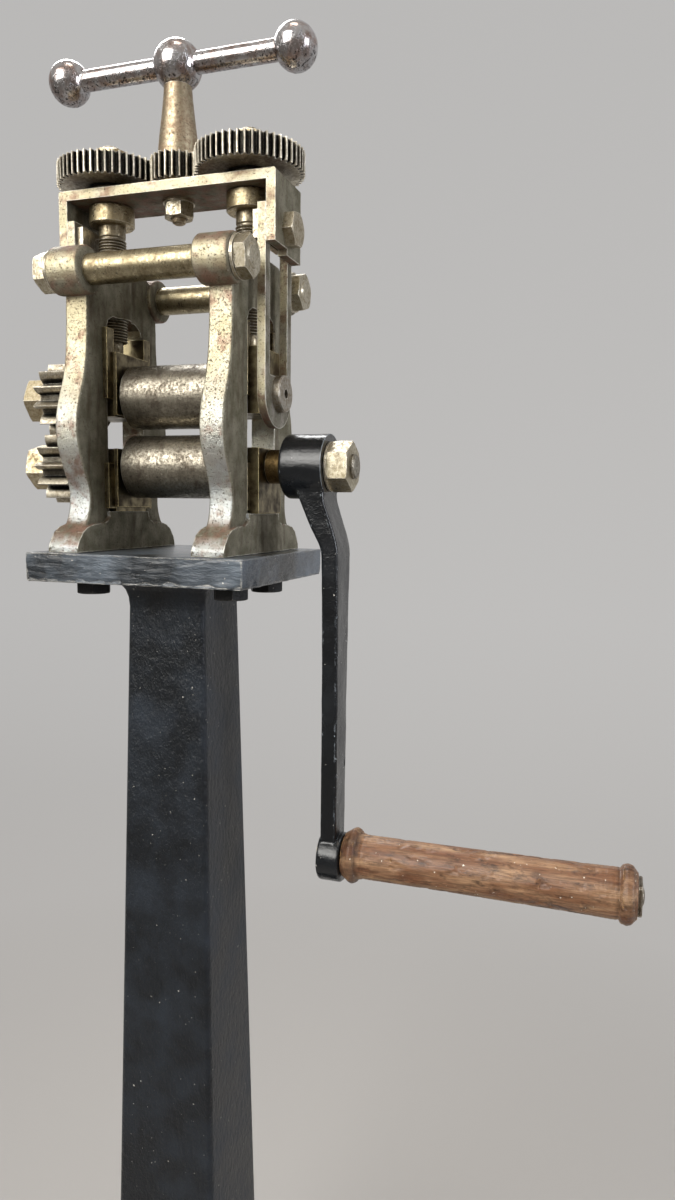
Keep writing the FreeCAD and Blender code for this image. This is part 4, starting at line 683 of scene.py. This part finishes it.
@dataclass
class WornCopy:
    """A CAD piece's shape cut fine, with its real unevenness pressed into it.

    The unevenness only goes inward, so the piece keeps its place and stays inside its outer size.
    cell gives how far apart the cuts across each axis are, in millimetres, with 0 for no cuts.
    press gives a depth in millimetres from a place in millimetres and the way that it faces.
    """

    node: str
    body: str
    slot: str
    name: str
    cell: tuple[float, float, float]
    press: Callable[[Vector, Vector], float]
    sharp: float = 34.0

    def cut(self) -> bmesh.types.BMesh:
        """Cuts the shape in thin slices across each axis that has a cell size.

        Returns:
            The mesh, left whole along an axis whose cell size is 0.
        """
        form = bmesh.new()
        form.from_mesh(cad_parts[self.node].data)
        bmesh.ops.remove_doubles(form, verts=form.verts[:], dist=2e-6)
        low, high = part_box(self.node)
        for axis, size in enumerate(self.cell):
            if not size:
                continue
            length = high[axis] - low[axis]
            count = int(length / (size * MILLIMETRE))
            direction = Vector([float(i == axis) for i in range(3)])
            for i in range(1, count + 1):
                point = direction * (low[axis] + (i - 0.5) * length / count)
                everything = [*form.verts, *form.edges, *form.faces]
                bmesh.ops.bisect_plane(form, geom=everything, plane_co=point, plane_no=direction, dist=1e-6)
        return form

    def build(self, material: bpy.types.Material) -> bpy.types.Object:
        """Makes the piece and sets it in its node's place.

        Args:
            material: its finish.

        Returns:
            The new piece.
        """
        form = self.cut()
        form.normal_update()
        depths = [(vertex, self.press(vertex.co / MILLIMETRE, vertex.normal)) for vertex in form.verts]
        for vertex, depth in depths:
            vertex.co -= vertex.normal * max(depth, 0.0) * MILLIMETRE
        mesh = bpy.data.meshes.new(self.name)
        form.to_mesh(mesh)
        form.free()
        mesh.shade_smooth()
        mesh.set_sharp_from_angle(angle=math.radians(self.sharp))
        mesh.materials.append(material)
        piece = bpy.data.objects.new(self.name, mesh)
        bpy.context.scene.collection.objects.link(piece)
        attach(piece, self.body)
        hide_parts(self.node)
        LOG.info("%s made from %s, %d faces", self.name, self.node, len(mesh.polygons))
        return piece


def waves(point: Vector, sizes: tuple[float, float, float], shift: float = 0.0) -> float:
    """Gives a smooth uneven height from 0 to 1.

    Args:
        point: the place, in millimetres.
        sizes: how long the unevenness is along each axis, in millimetres.
        shift: moves it, to give another of the same kind.

    Returns:
        The height.
    """
    place = Vector([c / s + shift for c, s in zip(point, sizes)])
    return min(max(0.5 + 0.5 * noise.fractal(place, 0.8, 2.1, 3), 0.0), 1.0)


@dataclass
class Stand:
    """The square post with its floor plate, mounting plate and bolts, in millimetres."""

    plate_thickness: float = 20.0
    face_swell: float = 0.25
    drag: float = 1.1
    gouge: float = 6.5
    gouge_height: float = 3.5
    chip: float = 1.4
    chip_height: float = 1.2

    def cut_edge(self, point: Vector, normal: Vector) -> float:
        """Gives the depth of the torch's marks on the mounting plate's rim.

        Args:
            point: a place on the plate, in millimetres.
            normal: the way that it faces.

        Returns:
            The depth in millimetres.
        """
        side = math.hypot(normal.x, normal.y)
        if side < 0.3:
            return self.face_swell * waves(point, (9, 9, 9))
        front = max(-normal.y, 0.0)
        streaks = waves(point, (16, 16, 2.4)) * (0.35 + 0.65 * front) * self.drag
        above_low = point.z - (1000 * PLATE_TOP - self.plate_thickness)
        below_top = self.plate_thickness - above_low
        melted = max(0.0, waves(point, (9, 9, 30), 4.2) - 0.35) * math.exp(-above_low / self.gouge_height)
        chipped = max(0.0, waves(point, (3, 3, 3), 7.7) - 0.5) * math.exp(-below_top / self.chip_height)
        return streaks + self.gouge * melted * (0.5 + front) + self.chip * chipped

    def build(self) -> None:
        """Dresses the stand and cuts its plate's rim."""
        brushed = BlackEnamel("brushed_enamel_on_post", faded="#262d36", stretch=(1, 1, 0.6), lump_depth=0.7)
        dress(["stand_post", "floor_plate"], brushed)
        plate = BlackEnamel(
            "chipped_enamel_on_plate",
            black="#15191d",
            faded="#66707b",
            worn="#d5d2ca",
            stretch=(0.25, 0.25, 1),
            lump=3.0,
            lump_depth=0.9,
            roughness=0.32,
            coat=0.5,
            chips_and_highlight=1.0,
        )
        rim = WornCopy(
            "mounting_plate", "stand", "painted_stand", "torch_cut_plate", (3.2, 3.2, 1.0), self.cut_edge
        )
        rim.build(plate.material())
        blacked = BlackEnamel(
            "blacked_steel_bolts", black="#0c0d0e", faded="#1b1b1c", roughness=0.5, coat=0.0
        )
        dress(["mill_bolts"], blacked)
        washers = TurnedSteel("plain_washers", Along.Z, (0, 0, PLATE_TOP), grime_and_shade="#151310")
        dress(["mill_washers"], washers)


@dataclass
class SideFrames:
    """The two cast side frames with their tubes, ties, liners and lower blocks."""

    cast_swell: float = 0.45
    cast_grain: float = 0.16

    def cast_marks(self, point: Vector, normal: Vector) -> float:
        """Gives the depth that the sand mould left on a frame, which grinding took off its faces.

        Args:
            point: a place on the frame, in millimetres.
            normal: the way that it faces.

        Returns:
            The depth in millimetres.
        """
        rough = 0.35 + 0.65 * (1 - abs(normal.y))
        swell = self.cast_swell * waves(point, (16, 16, 16))
        return rough * (swell + self.cast_grain * waves(point, (3.4, 3.4, 3.4), 6.0))

    def build(self) -> None:
        """Dresses the side frames and what joins them, and gives the castings their skin."""
        cast = PlatedCastIron("nickel_on_cast_frames").material()
        for side in ("left", "right"):
            casting = WornCopy(
                side + "_frame",
                "stand",
                "plated_cast_iron",
                side + "_frame_casting",
                (0, 4.5, 4.5),
                self.cast_marks,
            )
            casting.build(cast)
        for node in ("front_spacer_tube", "rear_spacer_tube"):
            low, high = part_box(node)
            centre = ((low.x + high.x) / 2, (low.y + high.y) / 2, (low.z + high.z) / 2)
            tube = TurnedSteel(
                "browned_" + node,
                Along.X,
                centre,
                bright="#bbb092",
                brown="#65563c",
                roughness=0.27,
                browning=0.7,
                filming=0.45,
            )
            dress([node], tube)
        nuts = TurnedSteel(
            "plated_tie_fasteners", Along.X, (0, 0, TIE_AXIS), bright="#cdc6b4", brown="#8d8065"
        )
        dress(["tie_bolts", "tie_nuts", "tie_washers"], nuts)
        dress(
            ["left_liners", "right_liners", "lower_left_block", "lower_right_block"],
            BearingBronze("worn_bearing_bronze"),
        )


@dataclass
class Bridge:
    """The bridge that the pressure screws hang from, with its straps and upper blocks.

    The heights between which its plating yellows lie below it, so it has yellowed all over.
    """

    yellowing: tuple[float, float] = (0.7, 0.8)

    def build(self) -> None:
        """Dresses the bridge and the straps."""
        dress(["bridge"], PlatedCastIron("nickel_on_bridge", heights=self.yellowing))
        straps = PlatedCastIron("nickel_on_straps", skin="#a09b90", heights=self.yellowing)
        dress(["left_strap", "right_strap"], straps)
        bolt = TurnedSteel(
            "plated_strap_fasteners", Along.X, (0, 0, STRAP_BOLT_AXIS), bright="#c9c0ab", brown="#8a7b60"
        )
        dress(["strap_bolts", "strap_clamps"], bolt)
        disc = TurnedSteel("hanger_screw_steel", Along.X, (0, 0, UPPER_AXIS), bright="#b5b0a6")
        dress(["strap_screw", "hanger_sleeve"], disc)
        dress(["upper_left_block", "upper_right_block", "spindle_bush"], BearingBronze("upper_block_bronze"))


@dataclass
class Rolls:
    """The two rolls with their gears, keys and nuts."""

    def build(self) -> None:
        """Dresses the rolls and their gears."""
        for side, height in (("lower", LOWER_AXIS), ("upper", UPPER_AXIS)):
            centre = (0.0, 0.0, height)
            roll = TurnedSteel(
                side + "_roll_tool_steel",
                Along.X,
                centre,
                bright="#a8a293",
                brown="#4d4339",
                mark=1.0,
                browning=0.7,
            )
            dress([side + "_roll"], roll)
            gear = TurnedSteel(
                side + "_gear_steel",
                Along.X,
                centre,
                bright="#c4bdac",
                brown="#7d705c",
                # The gaps between teeth go almost black: oily dirt, and painted shade.
                grime_and_shade="#0b0907",
                reach=8,
                grime_and_shade_from=0.12,
                grime_and_shade_full=0.42,
            )
            dress([side + "_roll_gear", side + "_gear_key"], gear)
            nut = TurnedSteel(
                side + "_roll_nut", Along.X, centre, bright="#c8bda2", brown="#8d7a58", mark=1.5
            )
            dress([side + "_gear_nut"], nut)


@dataclass
class PressureScrews:
    """The two pressure screws with their gears, collars and top nuts.

    Each stands off the middle by the spacing, and its tool marks are laid from the middle height.
    """

    spacing: float = 0.054
    middle: float = 1.0

    def build(self) -> None:
        """Dresses the screws."""
        for side, x in (("left", -self.spacing), ("right", self.spacing)):
            centre = (x, 0.0, self.middle)
            screw = TurnedSteel(
                side + "_screw_steel",
                Along.Z,
                centre,
                bright="#a59c88",
                brown="#75674d",
                reach=3,
                browning=0.8,
            )
            dress([side + "_screw"], screw)
            collar = TurnedSteel(
                side + "_collar_steel", Along.Z, centre, bright="#b8ab8d", brown="#837252", roughness=0.26
            )
            dress([side + "_collar", side + "_screw_nut"], collar)
            gear = TurnedSteel(
                side + "_screw_gear_steel",
                Along.Z,
                centre,
                bright="#d8d1bf",
                brown="#8d7f68",
                # The gaps between teeth go almost black: oily dirt, and painted shade.
                grime_and_shade="#080605",
                reach=6,
                grime_and_shade_from=0.1,
                grime_and_shade_full=0.38,
            )
            dress([side + "_screw_gear"], gear)


@dataclass
class AdjustingHandle:
    """The T handle with its spindle and pinion, whose tool marks are laid from the middle height."""

    middle: float = 1.05

    def build(self) -> None:
        """Dresses the handle."""
        centre = (0.0, 0.0, self.middle)
        dress(["handle_ball", "handle_bar", "handle_knobs"], PolishedSteel("bright_plate_on_handle"))
        stem = TurnedSteel(
            "turned_spindle_steel", Along.Z, centre, bright="#b7ab91", brown="#8b735e", roughness=0.36
        )
        dress(["handle_spindle"], stem)
        pinion = TurnedSteel(
            "pinion_steel",
            Along.Z,
            centre,
            bright="#cfc7b3",
            brown="#8a7a5c",
            # The gaps between teeth go almost black: oily dirt, and painted shade.
            grime_and_shade="#080605",
            reach=6,
            grime_and_shade_from=0.1,
            grime_and_shade_full=0.38,
        )
        dress(["pinion", "pinion_key", "spindle_washer", "spindle_nut"], pinion)


@dataclass
class Crank:
    """The crank arm with its nut, spacer, grip spindle and wooden grip.

    The end plate's sizes are in metres, its corner as a share of its half width, and the depths
    and places of the marks in millimetres.
    """

    hammered: float = 0.55
    scale_pits: float = 0.1
    plate_half: float = 0.0102
    plate_corner: float = 1.3
    plate_round: float = 0.0006
    plate_points: int = 48
    pin_hole: float = 0.0052
    grip_ends: tuple[float, float] = (129.0, 325.0)
    ring_depth: float = 0.16
    ring_spacing: float = 3.1
    dent_depth: float = 0.7
    grip_swell: float = 0.18

    def forge_marks(self, point: Vector, normal: Vector) -> float:
        """Gives the depth of the hammer's flats and the scale's pits on the crank arm.

        Args:
            point: a place on the arm, in millimetres.
            normal: the way that it faces, which makes no difference here.

        Returns:
            The depth in millimetres.
        """
        return self.hammered * waves(point, (15, 15, 24)) + self.scale_pits * waves(point, (5, 5, 8), 5.5)

    def gouge_marks(self, point: Vector, normal: Vector) -> float:
        """Gives the depth of the gouge's rings, knocks and dents on the wooden grip.

        Args:
            point: a place on the grip, in millimetres.
            normal: the way that it faces.

        Returns:
            The depth in millimetres.
        """
        if abs(normal.x) > 0.9:
            return 0.0
        from_end = min(point.x - self.grip_ends[0], self.grip_ends[1] - point.x)
        turning = 0.5 + 0.5 * math.sin(2 * math.pi * point.x / self.ring_spacing)
        rings = self.ring_depth * turning * math.exp(-max(from_end - 12, 0) / 14)
        dents = max(0.0, waves(point, (13, 7, 7)) - 0.52) * 2.2
        return rings + min(dents, self.dent_depth) + self.grip_swell * waves(point, (40, 9, 9), 3.0)

    def end_plate(self, material: bpy.types.Material) -> None:
        """Makes the small square plate that the grip's pin is riveted over.

        Args:
            material: the plate's finish.
        """
        low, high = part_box("grip_washer")
        form = bmesh.new()
        loops = []
        # Each is a place along the pin, how far the rim is drawn in, and whether it is the rim.
        stations = [
            (low.x, 0.0, False),
            (low.x, 0.0, True),
            (high.x - self.plate_round, 0.0, True),
            (high.x, self.plate_round, True),
            (high.x, 0.0, False),
        ]
        for x, drawn_in, outer in stations:
            loop = []
            for i in range(self.plate_points):
                angle = 2 * math.pi * (i + 0.5) / self.plate_points
                across = max(abs(math.cos(angle)), abs(math.sin(angle)))
                rim = min(self.plate_half / across, self.plate_half * self.plate_corner) - drawn_in
                radius = rim if outer else self.pin_hole
                spot = (x, radius * math.cos(angle), GRIP_AXIS + radius * math.sin(angle))
                loop.append(form.verts.new(spot))
            loops.append(loop)
        for first, second in zip(loops, loops[1:] + loops[:1]):
            for i in range(self.plate_points):
                after = (i + 1) % self.plate_points
                form.faces.new((first[i], first[after], second[after], second[i]))
        bmesh.ops.recalc_face_normals(form, faces=form.faces[:])
        mesh = bpy.data.meshes.new("riveted_grip_plate")
        form.to_mesh(mesh)
        form.free()
        mesh.shade_smooth()
        mesh.set_sharp_from_angle(angle=math.radians(30))
        mesh.materials.append(material)
        piece = bpy.data.objects.new("riveted_grip_plate", mesh)
        bpy.context.scene.collection.objects.link(piece)
        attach(piece, "lower_shaft")
        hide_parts("grip_washer")
        LOG.info("grip's end plate made, %d faces", len(mesh.polygons))

    def build(self) -> None:
        """Dresses the crank and grip, and works the arm and the wood as their makers did."""
        enamel = BlackEnamel(
            "gloss_enamel_on_crank",
            black="#090b0e",
            faded="#14181d",
            # Pale blue-grey on the corners: worn paint, and a painted highlight.
            worn="#a9b2ba",
            roughness=0.24,
            coat=0.4,
            lump=9.0,
            lump_depth=0.35,
            fine_depth=0.07,
            chips_and_highlight=0.9,
            edge=1.1,
        )
        arm = WornCopy(
            "crank_arm", "lower_shaft", "crank_paint", "forged_crank_arm", (3.5, 3.5, 3.5), self.forge_marks
        )
        arm.build(enamel.material())
        centre = (0.0, 0.0, LOWER_AXIS)
        nut = TurnedSteel("crank_nut_steel", Along.X, centre, bright="#cfc7b2", brown="#8d8065", mark=1.5)
        dress(["crank_nut", "crank_washer", "crank_key"], nut)
        spacer = TurnedSteel("crank_spacer_brass", Along.X, centre, bright="#87714b", brown="#463722")
        dress(["crank_spacer"], spacer)
        pin = (0.0, 0.0, GRIP_AXIS)
        fittings = TurnedSteel("grip_pin_steel", Along.X, pin, bright="#8f8373", brown="#4c4034")
        dress(["grip_spindle"], fittings)
        self.end_plate(fittings.material())
        wood = WornCopy("grip", "wooden_grip", "grip_wood", "turned_grip", (0.8, 0, 0), self.gouge_marks)
        wood.build(TurnedWood("stained_beech").material())


@dataclass(frozen=True)
class SoftBox:
    """One studio lamp behind a diffuser."""

    name: str
    place: tuple[float, float, float]
    aim: tuple[float, float, float]
    width: float
    height: float
    watts: float
    colour: str
    spread: float

    def light(self) -> None:
        """Hangs the lamp and turns it to its aim."""
        lamp = bpy.data.lights.new(self.name, "AREA")
        lamp.shape = "RECTANGLE"
        lamp.size = self.width
        lamp.size_y = self.height
        lamp.energy = self.watts
        lamp.color = to_linear(self.colour)[:3]
        lamp.spread = math.radians(self.spread)
        holder = bpy.data.objects.new(self.name, lamp)
        bpy.context.scene.collection.objects.link(holder)
        holder.location = self.place
        direction = Vector(self.aim) - Vector(self.place)
        holder.rotation_euler = direction.to_track_quat("-Z", "Y").to_euler()


@dataclass
class Studio:
    """The pale sweep, the lamps and the camera."""

    camera_place: tuple[float, float, float] = (0.30135, -0.55544, 0.83425)
    camera_right: tuple[float, float, float] = (0.950222, 0.311318, 0.012489)
    camera_up: tuple[float, float, float] = (-0.046285, 0.101408, 0.993766)
    lens: float = 25.51
    paper: str = "#bdbab7"
    near_shade: str = "#b4b1ae"
    far: str = "#c8c7c6"
    sky: str = "#f6f1ea"
    evenness: float = 0.8
    paper_reach: float = 16.0
    paper_height: float = 6.0
    bend_start: float = 1.6
    bend_radius: float = 1.4
    bend_steps: int = 24
    lamps: list[SoftBox] = field(
        default_factory=lambda: [
            SoftBox("front_box", (-0.7, -1.7, 1.95), (0, 0, 1.1), 1.6, 1.6, 13, "#fffdf8", 75),
            SoftBox("overhead_box", (0.05, -0.2, 2.5), (0, 0, 1.0), 0.5, 0.4, 1.2, "#fff0e2", 120),
            SoftBox("right_box", (2.2, -0.3, 1.3), (0, 0, 0.9), 0.6, 1.2, 3, "#f2f6ff", 60),
            SoftBox("back_box", (-1.3, 1.6, 3.0), (0, 0, 0.9), 1.2, 1.2, 9, "#ffffff", 75),
        ]
    )

    def seamless_paper(self) -> bpy.types.Material:
        """Makes the paper, which glows where the camera looks at it, darker towards the front as a
        painted shade and paler further back.

        The evenness fades out under and before the stand, so the paper there is as bright as the
        lamps make it and darkens the undersides of polished parts.

        Returns:
            The material.
        """
        paper = Surface("seamless_paper")
        tooth = paper.cloud(30, 0.2, 0.8)
        paper.finish(self.paper, paper.spread(tooth, 0, 1, 0.85, 0.95), paper.relief([(tooth, 0.02)]), 0.0)
        tree = paper.tree
        output = next(n for n in tree.nodes if n.bl_idname == "ShaderNodeOutputMaterial")
        shaded = next(n for n in tree.nodes if n.bl_idname == "ShaderNodeBsdfPrincipled")
        path = add_node(tree, "LightPath").outputs
        mirrored = paper.arithmetic("MAXIMUM", path["Is Glossy Ray"], path["Is Transmission Ray"])
        away = add_node(tree, "SeparateXYZ", {}, {0: paper.place}).outputs[Along.Y.value]
        mirrored = paper.product(mirrored, paper.spread(away, -0.1, 0.7))
        clear = add_node(tree, "VectorMath", {"operation": "LENGTH"}, {0: paper.place}).outputs["Value"]
        seen = paper.product(path["Is Camera Ray"], paper.spread(clear, 0.1, 1.2))
        share = paper.product(paper.arithmetic("MAXIMUM", seen, mirrored), self.evenness)
        # The glow is darker close to the stand and paler far back: a painted shade on the floor.
        tone = paper.coloured(paper.spread(away, 0.2, 2.6), self.near_shade, self.far)
        even = add_node(tree, "Emission", {"Strength": 1.0}, {"Color": tone})
        mixed = add_node(tree, "MixShader", {}, {0: share, 1: shaded.outputs[0], 2: even.outputs[0]})
        tree.links.new(mixed.outputs[0], output.inputs[0])
        return paper.material

    def sweep(self) -> None:
        """Makes the paper that runs from under the stand up behind it."""
        mesh = bpy.data.meshes.new("paper_sweep")
        start, radius, reach = self.bend_start, self.bend_radius, self.paper_reach
        section = [(-reach, 0.0), (start, 0.0)]
        for i in range(1, self.bend_steps + 1):
            angle = math.pi / 2 * i / self.bend_steps
            section.append((start + radius * math.sin(angle), radius * (1 - math.cos(angle))))
        section.append((start + radius, self.paper_height))
        points = [(x, y, z) for y, z in section for x in (-reach, reach)]
        faces = [(2 * i, 2 * i + 1, 2 * i + 3, 2 * i + 2) for i in range(len(section) - 1)]
        mesh.from_pydata(points, [], faces)
        mesh.shade_smooth()
        sheet = bpy.data.objects.new("paper_sweep", mesh)
        bpy.context.scene.collection.objects.link(sheet)
        mesh.materials.append(self.seamless_paper())

    def air(self) -> None:
        """Sets the even light from all round the room, and the plain tone that the camera sees."""
        world = bpy.data.worlds.new("studio_air")
        bpy.context.scene.world = world
        world.use_nodes = True
        tree = world.node_tree
        tree.nodes.clear()
        direction = add_node(tree, "TexCoord").outputs["Generated"]
        rise = add_node(tree, "SeparateXYZ", {}, {0: direction}).outputs[Along.Z.value]
        level = add_node(
            tree,
            "MapRange",
            {"From Min": -0.2, "From Max": 0.9, "To Min": 0.2, "To Max": 0.5},
            {"Value": rise},
        )
        sky = add_node(
            tree, "Background", {"Color": to_linear(self.sky)}, {"Strength": level.outputs[0]}
        )
        plain = add_node(tree, "Background", {"Color": to_linear(self.far), "Strength": 1.0})
        looked_at = add_node(tree, "LightPath").outputs["Is Camera Ray"]
        both = add_node(tree, "MixShader", {}, {0: looked_at, 1: sky.outputs[0], 2: plain.outputs[0]})
        add_node(tree, "OutputWorld", {}, {0: both.outputs[0]})

    def camera(self) -> None:
        """Stands the camera where the photograph was taken from."""
        scene = bpy.context.scene
        lens = bpy.data.cameras.new("viewpoint")
        lens.sensor_fit = "VERTICAL"
        lens.sensor_height = 36.0
        lens.lens = self.lens
        lens.clip_start = 0.01
        holder = bpy.data.objects.new("viewpoint", lens)
        scene.collection.objects.link(holder)
        right = Vector(self.camera_right)
        up = Vector(self.camera_up)
        back = right.cross(up)
        turn = Matrix((right, up, back)).transposed().to_4x4()
        holder.matrix_world = Matrix.Translation(self.camera_place) @ turn
        scene.camera = holder

    def build(self) -> None:
        """Sets the sweep, the air, the lamps and the camera."""
        self.sweep()
        self.air()
        for lamp in self.lamps:
            lamp.light()
        self.camera()
        bpy.context.scene.view_settings.view_transform = "Standard"


def main() -> None:
    """Builds the studio and dresses each sub-assembly in turn."""
    logging.basicConfig(level=logging.INFO, format="%(message)s")
    parts = (
        Studio(),
        Stand(),
        SideFrames(),
        Bridge(),
        Rolls(),
        PressureScrews(),
        AdjustingHandle(),
        Crank(),
    )
    for part in parts:
        part.build()
        LOG.info("%s built", type(part).__name__)


if __name__ == "__main__":
    main()
